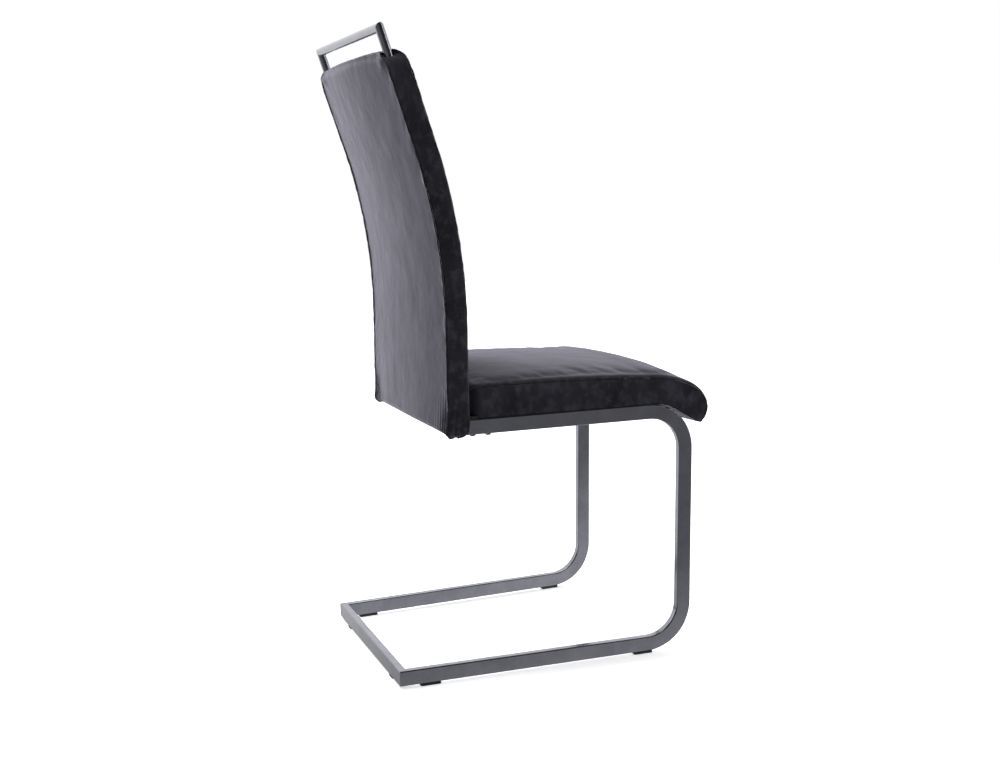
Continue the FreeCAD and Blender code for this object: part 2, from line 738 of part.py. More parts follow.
def back_core():
    """Moulded plywood core: its foot fits between the rails, its shoulders stand on the brackets."""
    bottom = CORE_BOTTOM_COVER
    core = back_layer(0, CORE_T, bottom, BEND_START + BEND_LENGTH + CORE_RISE)
    core = core.common(box_between(V(-CORE_W / 2, 0, 0), V(CORE_W / 2, FAR, FAR)))
    shoulder = box_between(V(-FAR, 0, -FAR), V(-CORE_FOOT_W / 2, FAR, BRACKET_T + 2 * FIT_GAP))
    core = cut_all(core, both_sides(on_rails(shoulder)))
    depth = STUD_DEPTH + BORE_SPARE
    stud_bore = Part.makeCylinder(STUD_HOLE_R, depth, V(-HANDLE_X, HANDLE_OFFSET, CORE_RISE - depth))
    barrel_depth = BARREL_LENGTH + BORE_SPARE
    barrel_bore = Part.makeCylinder(BARREL_R + FIT_GAP, barrel_depth, barrel_place(), V(0, 1, 0))
    bores = both_sides_all([on_lean(stud_bore), on_lean(barrel_bore)])
    return cut_all(core, bores + both_sides_all(bracket_screws()))


def core_room():
    """The core's space, grown by the soft gap."""
    top = BEND_START + BEND_LENGTH + CORE_RISE + SOFT_GAP
    grown = back_layer(-SOFT_GAP, CORE_T + SOFT_GAP, CORE_BOTTOM_COVER - SOFT_GAP, top)
    half = CORE_W / 2 + SOFT_GAP
    grown = grown.common(box_between(V(-half, 0, 0), V(half, FAR, FAR)))
    level = BRACKET_T + 2 * FIT_GAP - SOFT_GAP
    shoulder = box_between(V(-FAR, 0, -FAR), V(-CORE_FOOT_W / 2 - SOFT_GAP, FAR, level))
    return cut_all(grown, both_sides(on_rails(shoulder)))


def back_front_foam():
    """Foam in front of the core."""
    top = BEND_START + BEND_LENGTH + LEAN_LENGTH + BACK_T
    ahead = back_layer(-2 * BACK_T, -SOFT_GAP, -BACK_T, top)
    posts = both_sides(on_lean(post_room(SOFT_GAP)))
    return cut_all(back_body(COVER_T + SOFT_GAP).common(ahead), posts + foot_room())


def back_rear_foam():
    """Foam behind the core, over its top and along its sides."""
    top = BEND_START + BEND_LENGTH + LEAN_LENGTH + BACK_T
    behind = back_layer(0, 2 * BACK_T, -BACK_T, top)
    posts = both_sides(on_lean(post_room(SOFT_GAP)))
    return cut_all(back_body(COVER_T + SOFT_GAP).common(behind), [core_room()] + posts + foot_room())


def back_cover():
    """Sewn cover of the back, with slits for the rails and holes for the handle."""
    posts = both_sides(on_lean(post_room(SOFT_GAP)))
    return cut_all(back_body(0).cut(back_body(COVER_T)), posts + foot_room())


# Handle, built in the leaning frame

def round_tube(length):
    """Hollow round tube up Z from the origin."""
    outer = Part.makeCylinder(HANDLE_TUBE_R, length)
    return outer.cut(Part.makeCylinder(HANDLE_TUBE_R - HANDLE_WALL, length))


def handle_crossbar():
    bar = round_tube(HANDLE_W)
    bar.rotate(V(0, 0, 0), V(0, 1, 0), 90)
    bar.translate(V(-HANDLE_W / 2, HANDLE_OFFSET, HANDLE_RISE))
    outside = half_space(V(-HANDLE_X, HANDLE_OFFSET, HANDLE_RISE), V(-1, 0, -1))
    return on_lean(cut_all(bar, both_sides(outside)))


def right_handle_post():
    post = round_tube(HANDLE_RISE + HANDLE_TUBE_R - CORE_RISE)
    post.translate(V(-HANDLE_X, HANDLE_OFFSET, CORE_RISE))
    corner = V(-HANDLE_X, HANDLE_OFFSET, HANDLE_RISE)
    return on_lean(post.cut(half_space(corner, V(1, 0, 1))))


def handle_plug():
    """Threaded plug in the foot of the right post."""
    plug = Part.makeCylinder(HANDLE_TUBE_R - HANDLE_WALL - FIT_GAP, HANDLE_PLUG_T)
    plug = plug.cut(Part.makeCylinder(STUD_R, HANDLE_PLUG_T))
    plug.translate(V(-HANDLE_X, HANDLE_OFFSET, CORE_RISE))
    return on_lean(plug)


def handle_stud():
    length = STUD_DEPTH + HANDLE_PLUG_T
    return on_lean(Part.makeCylinder(STUD_R, length, V(-HANDLE_X, HANDLE_OFFSET, CORE_RISE - STUD_DEPTH)))


def barrel_place():
    return V(-HANDLE_X, 0, CORE_RISE - BARREL_DEPTH)


def handle_barrel_nut():
    """Cross nut in the core that the stud screws into."""
    nut = Part.makeCylinder(BARREL_R, BARREL_LENGTH)
    nut.rotate(V(0, 0, 0), V(1, 0, 0), -90)
    nut.translate(barrel_place() + V(0, HANDLE_OFFSET - BARREL_LENGTH / 2, 0))
    hole_start = V(-HANDLE_X, HANDLE_OFFSET, CORE_RISE - BARREL_DEPTH - 2 * BARREL_R)
    return on_lean(nut.cut(Part.makeCylinder(STUD_R, 4 * BARREL_R, hole_start)))


# The whole chair

def all_nodes():
    side = right_side_tube()
    front_place, rear_place = glide_places()
    front_glide = glide(front_place, GLIDE_LENGTH, GLIDE_INSET)
    rear_glide = glide(rear_place, GLIDE_LENGTH, GLIDE_INSET)
    post = right_handle_post()
    bracket = right_bracket()
    return {
        "side_tube_right": [side],
        "side_tube_left": [mirrored(side)],
        "rear_floor_tube": [rear_floor_tube()],
        "front_cross_tube": [seat_cross_tube(CROSS_FRONT_Y)],
        "rear_cross_tube": [seat_cross_tube(CROSS_REAR_Y)],
        "rail_end_plugs": rail_end_plugs(),
        "glide_front_right": [front_glide],
        "glide_front_left": [mirrored(front_glide)],
        "glide_rear_right": [rear_glide],
        "glide_rear_left": [mirrored(rear_glide)],
        "floor_tube_glides": both_sides(glide(rear_glide_place(), REAR_GLIDE_LENGTH, REAR_GLIDE_INSET)),
        "seat_board": [on_rails(seat_board())],
        "seat_foam": [on_rails(seat_foam())],
        "seat_cover": [on_rails(seat_cover())],
        "seat_dust_cover": [on_rails(seat_dust_cover())],
        "seat_screws": [on_rails(screw) for screw in seat_screws()],
        "back_core": [back_core()],
        "back_front_foam": [back_front_foam()],
        "back_rear_foam": [back_rear_foam()],
        "back_cover": [back_cover()],
        "back_bracket_right": [bracket],
        "back_bracket_left": [mirrored(bracket)],
        "back_bolts": both_sides_all(bolt()),
        "bracket_screws": both_sides_all(bracket_screws()),
        "handle_crossbar": [handle_crossbar()],
        "handle_post_right": [post],
        "handle_post_left": [mirrored(post)],
        "handle_plugs": both_sides(handle_plug()),
        "handle_studs": both_sides(handle_stud()),
        "handle_barrel_nuts": both_sides(handle_barrel_nut()),
    }


def middle_y(nodes):
    """Middle of the whole chair from front to rear."""
    boxes = [shape.optimalBoundingBox(False, False) for shapes in nodes.values() for shape in shapes]
    return (min(box.YMin for box in boxes) + max(box.YMax for box in boxes)) / 2


def main():
    os.makedirs("parts", exist_ok=True)
    nodes = all_nodes()
    shift = V(0, -middle_y(nodes), 0)
    for name, shapes in nodes.items():
        solids = [solid for shape in shapes for solid in shape.Solids]
        body = solids[0] if len(solids) == 1 else Part.makeCompound(solids)
        body.translate(shift)
        body.exportStep(f"parts/{name}.step")
        print(f"{name}: solids {len(solids)}, volume {body.Volume:.0f}, valid {body.isValid()}")
    print(f"shift in Y {shift.y:.3f}")


main()
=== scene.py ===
"""Cantilever dining chair: velvet pads, polished tube and fittings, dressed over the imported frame."""

import math

import bmesh
import bpy
import numpy as np
from bpy.props import FloatProperty, FloatVectorProperty, PointerProperty
from mathutils import Matrix, Vector, noise
from mathutils.kdtree import KDTree


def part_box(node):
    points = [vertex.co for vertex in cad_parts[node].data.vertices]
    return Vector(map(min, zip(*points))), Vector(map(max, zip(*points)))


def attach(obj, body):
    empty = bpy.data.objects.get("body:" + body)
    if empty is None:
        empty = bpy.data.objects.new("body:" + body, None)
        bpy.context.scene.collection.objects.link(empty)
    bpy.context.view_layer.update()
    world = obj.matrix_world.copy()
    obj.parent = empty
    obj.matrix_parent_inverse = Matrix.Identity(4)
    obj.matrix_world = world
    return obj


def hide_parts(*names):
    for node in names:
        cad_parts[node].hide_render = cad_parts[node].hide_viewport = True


bl_info = {
    "name": "Cantilever Dining Chair",
    "version": (1, 0, 0),
    "blender": (4, 5, 0),
    "location": "3D View > Sidebar > Chair",
    "description": "Builds the padding, seams, fittings and finishes of a cantilever dining chair",
    "category": "Object",
}

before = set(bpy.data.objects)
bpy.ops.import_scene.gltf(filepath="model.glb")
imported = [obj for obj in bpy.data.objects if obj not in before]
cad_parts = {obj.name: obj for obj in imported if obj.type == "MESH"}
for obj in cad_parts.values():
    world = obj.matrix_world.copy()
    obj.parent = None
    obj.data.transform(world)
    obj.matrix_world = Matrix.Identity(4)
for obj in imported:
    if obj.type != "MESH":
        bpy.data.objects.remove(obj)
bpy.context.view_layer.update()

MM = 0.001

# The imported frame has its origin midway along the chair, this far behind the front of the posts
FRONT_OF_POSTS = 248.006


def linear(hex_colour):
    """Linear colour with full alpha from an sRGB hex value."""
    channels = [int(hex_colour[i:i + 2], 16) / 255 for i in (1, 3, 5)]
    curved = [c / 12.92 if c <= 0.04045 else ((c + 0.055) / 1.055) ** 2.4 for c in channels]
    return (*curved, 1.0)


def colour(name, description, hex_value):
    return FloatVectorProperty(
        name=name, description=description, default=linear(hex_value), size=4, min=0, max=1, subtype="COLOR"
    )


def length(name, description, millimetres):
    return FloatProperty(
        name=name, description=description, default=millimetres * MM, unit="LENGTH", precision=5
    )


def power(name, description, watts):
    return FloatProperty(name=name, description=description, default=watts, unit="POWER")


# Sizes and colours

class ChairSeatPad(bpy.types.PropertyGroup):
    front_width: length("Front width", "Width of the seat at its nose", 410)
    rear_width: length("Rear width", "Width of the seat at its rear", 378)
    rear_thickness: length("Rear thickness", "Height of the seat's sides at the rear", 55)
    front_thickness: length("Front thickness", "Height of the seat's sides where the nose begins", 49)
    crown: length("Crown", "Rise of the seat's middle over its sides", 7)
    corner: length("Rear corners", "Radius of the rear corners from above", 13)
    edge: length("Edge drop", "How far the top turns down to its side seams", 3)
    turn: length("Edge turn", "Width over which the top turns down", 9)
    swell: length("Swell", "How far the padding may swell", 5)


class ChairBackPad(bpy.types.PropertyGroup):
    bottom_width: length("Bottom width", "Width of the back at its foot", 398)
    top_width: length("Top width", "Width of the back at its top", 386)
    thickness: length("Thickness", "Thickness of the back at its sides", 41)
    crown: length("Crown", "Rise of the middle of the front and of the rear", 7)
    corner: length("Top corners", "Radius of the top corners from behind", 24)
    edge: length("Edge drop", "How far the front and the rear turn to their side seams", 5.5)
    turn: length("Edge turn", "Width over which they turn", 20)
    swell: length("Swell", "How far the padding may swell", 5)


class ChairSeams(bpy.types.PropertyGroup):
    depth: length("Seam depth", "How far a seam draws the fabric in", 2.6)
    reach: length("Seam reach", "How far from a seam the fabric is drawn in", 9)
    thread: length("Thread radius", "Radius of the sewing thread", 0.3)
    stitch: length("Stitch length", "Length of one stitch", 3.2)
    gap: length("Stitch gap", "Gap from one stitch to the next", 0.8)
    pucker: length("Pucker", "Height of the puckers along a seam", 0.55)
    groove: length("Groove", "Depth of the fine groove at the thread", 1.1)


class ChairFittings(bpy.types.PropertyGroup):
    socket: length("Socket", "Width across the flats of a bolt's hex socket", 4)
    staple: length("Staple", "Width of a staple", 10)
    staple_pitch: length("Staple pitch", "Distance from one staple to the next", 38)


class ChairColours(bpy.types.PropertyGroup):
    velvet: colour("Velvet", "Colour of the pile seen from straight above", "#25252b")
    velvet_sheen: colour("Velvet sheen", "Colour of the pile's tips seen from the side", "#bcbac9")
    metal: colour("Dark nickel", "Colour of the plated tube", "#92939c")
    plastic: colour("Plastic", "Colour of the glides and plugs", "#1b1b1d")
    plywood: colour("Plywood", "Colour of the face veneer", "#b99668")
    cloth: colour("Dust cloth", "Colour of the cloth under the seat", "#1d1d1f")
    thread: colour("Thread", "Colour of the sewing thread", "#141417")


class ChairStage(bpy.types.PropertyGroup):
    floor: colour("Floor", "Colour of the floor and the background", "#f4f4f6")
    top_power: power("Top light", "Power of the soft light overhead", 56)
    rear_power: power("Rear light", "Power of the soft light behind", 36)
    front_power: power("Front light", "Power of the strip light", 8)


# Helpers for nodes, meshes and pieces

def add(tree, kind, inputs=None, **settings):
    """Adds a node, sets its properties, then sets or links its inputs by name or number."""
    node = tree.nodes.new(kind)
    for name, value in settings.items():
        setattr(node, name, value)
    for key, value in (inputs or {}).items():
        if isinstance(value, bpy.types.NodeSocket):
            tree.links.new(value, node.inputs[key])
        else:
            node.inputs[key].default_value = value
    return node


def ramp(tree, factor, stops):
    """Colour ramp whose stops are positions with linear colours."""
    node = add(tree, "ShaderNodeValToRGB", {"Fac": factor})
    elements = node.color_ramp.elements
    while len(elements) < len(stops):
        elements.new(0.5)
    for element, (position, value) in zip(elements, stops):
        element.position = position
        element.color = value
    return node.outputs["Color"]


def grey(level):
    return (level, level, level, 1)


def shade(base, share):
    """The same colour made darker or paler."""
    return (*(min(1, x * share) for x in base[:3]), 1)


def new_material(name, inputs):
    """Material with one Principled shader; returns it with its tree, shader and object coordinates."""
    material = bpy.data.materials.new(name)
    material.use_nodes = True
    tree = material.node_tree
    tree.nodes.clear()
    shader = add(tree, "ShaderNodeBsdfPrincipled", inputs)
    add(tree, "ShaderNodeOutputMaterial", {"Surface": shader.outputs["BSDF"]})
    place = add(tree, "ShaderNodeTexCoord").outputs["Object"]
    return material, tree, shader, place


def feed(tree, shader, outputs):
    """Links outputs to the shader's inputs by name."""
    for name, output in outputs.items():
        tree.links.new(output, shader.inputs[name])


def pattern(tree, place, millimetres, stretch=(1, 1, 1), detail=2.0, roughness=0.5):
    """Noise whose blobs are as large as told; stretch lengthens them along X, Y and Z."""
    scale = [1 / s for s in stretch]
    mapped = add(tree, "ShaderNodeMapping", {"Vector": place, "Scale": scale}).outputs["Vector"]
    inputs = {"Vector": mapped, "Scale": 1 / (millimetres * MM), "Detail": detail, "Roughness": roughness}
    return add(tree, "ShaderNodeTexNoise", inputs).outputs["Fac"]


def bump(tree, height, millimetres, normal=None):
    inputs = {"Height": height, "Distance": millimetres * MM, "Strength": 1.0}
    if normal is not None:
        inputs["Normal"] = normal
    return add(tree, "ShaderNodeBump", inputs).outputs["Normal"]


def mix(tree, factor, first, second):
    """Mix of two colours; sockets 6 and 7 are the node's colours, and output 2 is theirs."""
    return add(tree, "ShaderNodeMix", {0: factor, 6: first, 7: second}, data_type="RGBA").outputs[2]


def calculate(tree, operation, first, second):
    return add(tree, "ShaderNodeMath", {0: first, 1: second}, operation=operation).outputs[0]


def spread(tree, value, low, high):
    """Maps a pattern from 0 to 1 onto the range given."""
    return add(tree, "ShaderNodeMapRange", {"Value": value, "To Min": low, "To Max": high}).outputs["Result"]


def new_object(name, data):
    made = bpy.data.objects.new(name, data)
    bpy.context.scene.collection.objects.link(made)
    return made


def new_piece(name, vertices, faces, material, smooth=True):
    mesh = bpy.data.meshes.new(name)
    mesh.from_pydata([tuple(v) for v in vertices], [], [tuple(f) for f in faces])
    mesh.materials.append(material)
    if smooth:
        mesh.shade_smooth()
    else:
        mesh.shade_flat()
    return new_object(name, mesh)


def bake(piece):
    """Turns a piece and its modifiers into a plain mesh."""
    graph = bpy.context.evaluated_depsgraph_get()
    mesh = bpy.data.meshes.new_from_object(piece.evaluated_get(graph), depsgraph=graph)
    piece.modifiers.clear()
    old = piece.data
    piece.data = mesh
    bpy.data.meshes.remove(old)
    mesh.name = piece.name


def read(piece, name):
    values = np.empty(len(piece.data.vertices) * 3)
    piece.data.vertices.foreach_get(name, values)
    return values.reshape(-1, 3)


def coordinates(piece):
    return read(piece, "co")


def normals(piece):
    return read(piece, "normal")


def set_coordinates(piece, points):
    piece.data.vertices.foreach_set("co", np.ascontiguousarray(points).ravel())
    piece.data.update()


def finish_nodes(names, material):
    for name in names:
        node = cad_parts[name]
        node.data.materials.clear()
        node.data.materials.append(material)


def settle(piece, slot, *replaced):
    """Rides on the chair and stands for the nodes named, which it hides; slot is not used."""
    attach(piece, "root")
    if replaced:
        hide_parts(*replaced)


# Finishes

def velvet():
    """Short-pile polyester velvet: dark from straight above, and bright where it is seen from the side."""
    c = bpy.context.scene.chair_colours
    inputs = {
        "Roughness": 0.9,
        "IOR": 1.45,
        "Specular IOR Level": 0.25,
        "Sheen Weight": 0.6,
        "Sheen Roughness": 0.33,
        "Sheen Tint": c.velvet_sheen,
    }
    material, tree, shader, place = new_material("polyester_velvet", inputs)
    # Patches where hands and folds have laid the pile over, 55 mm and 16 mm wide; the 16 mm marks are drawn
    # lighter as painted sheen of the crushed pile
    patches = pattern(tree, place, 55, stretch=(1, 1, 1.2), detail=3, roughness=0.55)
    marks = pattern(tree, place, 16, stretch=(1, 1, 1.2), detail=4, roughness=0.6)
    handled = add(tree, "ShaderNodeAttribute", attribute_name="handled").outputs["Fac"]
    seam = add(tree, "ShaderNodeAttribute", attribute_name="seam").outputs["Fac"]
    # On the side bands and along the seams the crushed marks lift the colour up to 2.3 times: painted sheen
    # of the crushed pile
    laid = ramp(tree, marks, [(0.48, grey(0)), (0.72, grey(1))])
    laid = mix(tree, handled, grey(0), laid)
    base = ramp(tree, patches, [(0.34, shade(c.velvet, 0.72)), (0.5, c.velvet), (0.68, shade(c.velvet, 1.4))])
    base = mix(tree, laid, base, shade(c.velvet, 2.3))
    # Pile 0.6 mm across, drawn at 2 mm so that it shows, over the soft dents of the padding
    pile = pattern(tree, place, 2, detail=2, roughness=0.7)
    dents = pattern(tree, place, 42, stretch=(1, 1, 1.2), detail=2)
    normal = bump(tree, dents, 1.2, bump(tree, pile, 0.3))
    feed(tree, shader, {
        # Next to each seam the colour falls to 0.15 of the velvet's: painted shade in the seam's groove
        "Base Color": mix(tree, seam, base, shade(c.velvet, 0.15)),
        "Normal": bump(tree, marks, 0.3, normal),
    })
    return material


def dark_nickel():
    """Polished steel tube under dark nickel plating: a clean, slightly soft mirror with fine pits."""
    c = bpy.context.scene.chair_colours
    material, tree, shader, place = new_material("dark_nickel_plated_steel", {"Metallic": 1.0})
    # Plating varies in tone over about 40 mm; pits of 0.5 mm are drawn at 1.4 mm so that they show
    cloud = pattern(tree, place, 40, detail=6, roughness=0.65)
    wear = pattern(tree, place, 11, detail=6, roughness=0.75)
    pits = ramp(tree, pattern(tree, place, 1.4, detail=2, roughness=0.7), [(0.62, grey(1)), (0.7, grey(0))])
    ripple = pattern(tree, place, 25, detail=1)
    feed(tree, shader, {
        "Base Color": ramp(tree, cloud, [(0.3, shade(c.metal, 0.78)), (0.7, c.metal)]),
        "Roughness": spread(tree, wear, 0.08, 0.3),
        "Normal": bump(tree, ripple, 0.05, bump(tree, pits, 0.015)),
    })
    return material


def moulded_plastic():
    """Injection-moulded polypropylene with a fine spark-eroded grain."""
    c = bpy.context.scene.chair_colours
    material, tree, shader, place = new_material("moulded_polypropylene", {"IOR": 1.49})
    # Grain of the mould, 0.5 mm; scuffs, 12 mm
    grain = pattern(tree, place, 0.5, detail=2)
    scuffs = pattern(tree, place, 12, stretch=(1, 2, 1), detail=4)
    feed(tree, shader, {
        "Base Color": ramp(tree, scuffs, [(0.5, c.plastic), (0.8, shade(c.plastic, 2.2))]),
        "Roughness": spread(tree, scuffs, 0.42, 0.62),
        "Normal": bump(tree, grain, 0.03),
    })
    return material


def birch_plywood():
    """Rotary-cut birch veneer on moulded plywood: long soft grain, raw and dry."""
    c = bpy.context.scene.chair_colours
    material, tree, shader, place = new_material("birch_plywood", {"Roughness": 0.7, "IOR": 1.5})
    # Growth rings show as bands 6 mm wide, stretched along the board
    bands = pattern(tree, place, 6, stretch=(1, 9, 9), detail=4)
    fibre = pattern(tree, place, 0.7, stretch=(1, 14, 14), detail=2)
    feed(tree, shader, {
        "Base Color": ramp(tree, bands, [(0.35, shade(c.plywood, 0.68)), (0.6, c.plywood)]),
        "Normal": bump(tree, fibre, 0.06),
    })
    return material


def zinc_plate():
    """Bright zinc plating on screws and studs: pale grey with soft crystal patches."""
    material, tree, shader, place = new_material("zinc_plated_steel", {"Metallic": 1.0})
    # Crystals of the plating, 1.5 mm
    crystals = pattern(tree, place, 1.5, detail=3)
    feed(tree, shader, {
        "Base Color": ramp(tree, crystals, [(0.3, linear("#8f9296")), (0.7, linear("#c3c6c9"))]),
        "Roughness": spread(tree, crystals, 0.25, 0.45),
    })
    return material


def powder_coat():
    """Satin black polyester powder coat: a fine orange peel over the steel."""
    material, tree, shader, place = new_material("satin_powder_coat", {"IOR": 1.5})
    # Orange peel, 1.6 mm from bump to bump
    peel = pattern(tree, place, 1.6, detail=1)
    feed(tree, shader, {
        "Base Color": ramp(tree, peel, [(0.3, linear("#161617")), (0.7, linear("#202022"))]),
        "Roughness": spread(tree, peel, 0.38, 0.46),
        "Normal": bump(tree, peel, 0.05),
    })
    return material


def spunbond():
    """Non-woven polypropylene cloth: matt, with the small square dimples it is bonded by."""
    c = bpy.context.scene.chair_colours
    material, tree, shader, place = new_material("spunbond_polypropylene", {"Roughness": 0.85, "IOR": 1.49})
    # Bonding dimples, 1.6 mm apart, drawn at 2.4 mm so that they show; fibres lie in clouds 7 mm wide
    inputs = {"Vector": place, "Scale": 1 / (2.4 * MM)}
    dimples = add(tree, "ShaderNodeTexVoronoi", inputs, feature="F1", distance="CHEBYCHEV")
    fibres = pattern(tree, place, 7, detail=5, roughness=0.7)
    feed(tree, shader, {
        "Base Color": ramp(tree, fibres, [(0.35, c.cloth), (0.7, shade(c.cloth, 1.8))]),
        "Normal": bump(tree, dimples.outputs["Distance"], 0.12),
    })
    return material


def sewing_thread():
    """Bonded polyester thread: two plies twisted, with a slight wax gloss."""
    c = bpy.context.scene.chair_colours
    material, tree, shader, place = new_material("polyester_thread", {"Roughness": 0.55, "IOR": 1.5})
    # Twist of the plies, 0.5 mm
    twist = pattern(tree, place, 0.5, detail=1)
    feed(tree, shader, {"Base Color": ramp(tree, twist, [(0.4, c.thread), (0.6, shade(c.thread, 1.7))])})
    return material


# Outlines, in millimetres

def arc(start, end, bow, count):
    """Points from start to end on an arc that swells to the right of the way by bow."""
    (a, b), (c, d) = start, end
    t = np.linspace(0, 1, count)[:, None]
    chord = np.array([c - a, d - b])
    side = np.array([chord[1], -chord[0]]) / np.hypot(*chord)
    return np.array(start) + t * chord + 4 * bow * t * (1 - t) * side


def corner(before, tip, after, count):
    """Soft corner that leaves one point and reaches the other, pulled to the tip."""
    t = np.linspace(0, 1, count)[:, None]
    first, middle, last = (np.array(p, float) for p in (before, tip, after))
    return (1 - t) ** 2 * first + 2 * t * (1 - t) * middle + t ** 2 * last


def chain(*parts):
    """Joins runs of points that share their ends."""
    return np.vstack([part[:-1] for part in parts[:-1]] + [parts[-1]])


def resample(points, count):
    """The same line with evenly spaced points."""
    steps = np.hypot(*np.diff(points, axis=0).T)
    along = np.concatenate([[0], np.cumsum(steps)])
    wanted = np.linspace(0, along[-1], count)
    return np.column_stack([np.interp(wanted, along, points[:, i]) for i in range(points.shape[1])])


def coons(bottom, top, left, right):
    """Grid that fills four edge lines; rows run from bottom to top and columns from left to right."""
    u = np.linspace(0, 1, len(bottom))[:, None, None]
    v = np.linspace(0, 1, len(left))[None, :, None]
    ruled = (1 - v) * bottom[:, None] + v * top[:, None] + (1 - u) * left[None] + u * right[None]
    corners = (1 - u) * ((1 - v) * bottom[0] + v * top[0]) + u * ((1 - v) * bottom[-1] + v * top[-1])
    return ruled - corners


def across(half, turn, pitch=5.4):
    """Columns from side to side, from -1 to 1, a pitch apart and closer where the edges turn over."""
    edge = turn * np.array([0, 0.09, 0.2, 0.34, 0.52, 0.74])
    middle = np.arange(turn, half, pitch)
    inner = turn + (middle - turn) * (half - turn) / (middle[-1] + pitch - turn)
    out = 1 - np.concatenate([edge, inner, [half]]) / half
    return np.concatenate([-out, out[-2::-1]])


def quads(grid):
    """Faces between the numbers of a grid."""
    return np.stack([grid[:-1, :-1], grid[1:, :-1], grid[1:, 1:], grid[:-1, 1:]], -1).reshape(-1, 4)


def block(side_grid, ks, turn, place):
    """Closed pad: a side grid at both ends and its rim swept across the columns ks.

    side_grid(crown, edge) gives points as (long, short, 2); edge goes from 1 at the sides to 0 where the
    edge, a share turn of the half width, has turned over. place(k, points) gives them in 3D. Returns points,
    faces, and the indices of the rim at each column.
    """
    longways, shortways = side_grid(0.0, 1.0).shape[:2]
    cells = np.arange(longways * shortways).reshape(longways, shortways)
    rim = np.concatenate([cells[:, 0], cells[-1, 1:], cells[-2::-1, -1], cells[0, -2:0:-1]])
    points, faces, rims = [], [], []
    for number, k in enumerate(ks):
        left = max(0.0, 1 - (1 - abs(k)) / turn)
        start = sum(len(p) for p in points)
        outer = number in (0, len(ks) - 1)
        outline = side_grid(1 - k * k, 1 - math.sqrt(1 - left * left)).reshape(-1, 2)
        points.append(place(k, outline if outer else outline[rim]))
        rims.append(start + (rim if outer else np.arange(len(rim))))
        if outer:
            side = quads(cells)
            faces += (start + (side[:, ::-1] if number == 0 else side)).tolist()
    rims = np.array(rims)
    for one, two in zip(rims[:-1], rims[1:]):
        after_one, after_two = np.roll(one, -1), np.roll(two, -1)
        faces += np.stack([one, after_one, after_two, two], -1)[:, ::-1].tolist()
    return np.vstack(points), faces, rims


# Seat: y runs back from the front of the posts and z up from the rails, both along the rails

# Points along and up the grid of the side, and how many of them lie behind the nose
SEAT_LONG, SEAT_SHORT, SEAT_SPLIT = 96, 12, 62
# Top plane of the rails and its fall to the rear
RAIL_TOP = 429.5
RAIL_FALL = math.radians(0.6)
# Ends of the seat, rounding of the lip's tip and of the rear edge, and where the top breaks into the nose
SEAT_REAR, SEAT_NOSE = 389.0, -30.0
SEAT_TIP, SEAT_EDGE, SEAT_BREAK = 12.0, 9.0, 84.0
# Places on the outline as y and z; a crown is what the middle of the seat adds there
SEAT_SHOULDER = (-1.5, 30.0)
SEAT_BELLY = -6.0
SEAT_LIP, LIP_CROWN, LIP_PULL = (-12.5, -38.0), 5.0, (-3.5, -4.5)
SEAT_HEEL = (66, -0.3)
SEAT_KNEE, KNEE_CROWN = (21, -19.3), 1.7
NOSE_CROWN = 3.0
# How far each run of the outline bows out from its chord
TOP_BOW, SHOULDER_BOW, BROW_BOW, NOSE_BOW, HEEL_BOW = 4.0, 5.3, 4.6, 4.2, 3.6
# The sides are drawn in round the waist, fading in upwards from the top of the board
SEAT_DRAWN, WAIST_Y, WAIST_REACH = 2.5, 155.0, 218.0
DRAWN_FROM, DRAWN_OVER = 12.0, 14.0
# Hem that the dust cloth leaves free, where the cloth begins, and how deep it lies
HEM, CLOTH_FRONT, CLOTH_RECESS = 18.0, 75.0, 1.3


def seat_side(crown, edge):
    """Grid over the side of the seat: its long edges are the underside and the top, front last."""
    s = bpy.context.scene.chair_seat_pad
    top = crown * s.crown / MM - edge * s.edge / MM
    rear_top = s.rear_thickness / MM + top
    front_top = s.front_thickness / MM + top
    knee = (SEAT_KNEE[0], SEAT_KNEE[1] - KNEE_CROWN * crown)
    lip = np.array((SEAT_LIP[0], SEAT_LIP[1] - LIP_CROWN * crown))
    outer = arc((SEAT_NOSE - NOSE_CROWN * crown + edge * s.edge / MM, SEAT_BELLY), lip, NOSE_BOW, 40)
    inner = arc(knee, lip, 0, 20)
    outer = outer[np.hypot(*(outer - lip).T) > SEAT_TIP]
    inner = inner[np.hypot(*(inner - lip).T) > SEAT_TIP]
    shoulder = (SEAT_SHOULDER[0], SEAT_SHOULDER[1] + top)
    upper_rear = arc((SEAT_REAR - SEAT_EDGE, rear_top), (SEAT_BREAK, front_top), TOP_BOW, 60)
    brow = arc((SEAT_BREAK, front_top), shoulder, SHOULDER_BOW, 30)
    upper_front = chain(brow, arc(shoulder, outer[0], BROW_BOW, 20), outer)
    lower_rear = arc((SEAT_REAR, 0), SEAT_HEEL, 0, 60)
    lower_front = chain(arc(SEAT_HEEL, knee, HEEL_BOW, 20), inner)
    front_cells = SEAT_LONG - SEAT_SPLIT + 1
    bottom = chain(resample(lower_rear, SEAT_SPLIT), resample(lower_front, front_cells))
    over = chain(resample(upper_rear, SEAT_SPLIT), resample(soften(upper_front), front_cells))
    edge_start = (SEAT_REAR, rear_top - SEAT_EDGE)
    rear_edge = corner(edge_start, (SEAT_REAR, rear_top), over[0], 12)
    rear = resample(chain(arc((SEAT_REAR, 0), edge_start, 0, 20), rear_edge), SEAT_SHORT)
    tip = resample(corner(bottom[-1], lip + LIP_PULL, over[-1], 20), SEAT_SHORT)
    return coons(bottom, over, rear, tip)


def soften(points, rounds=6):
    """Rounds the corners of a line and keeps its ends."""
    points = resample(points, 90)
    for _ in range(rounds):
        points[1:-1] += (points[:-2] + points[2:] - 2 * points[1:-1]) / 4
    return points


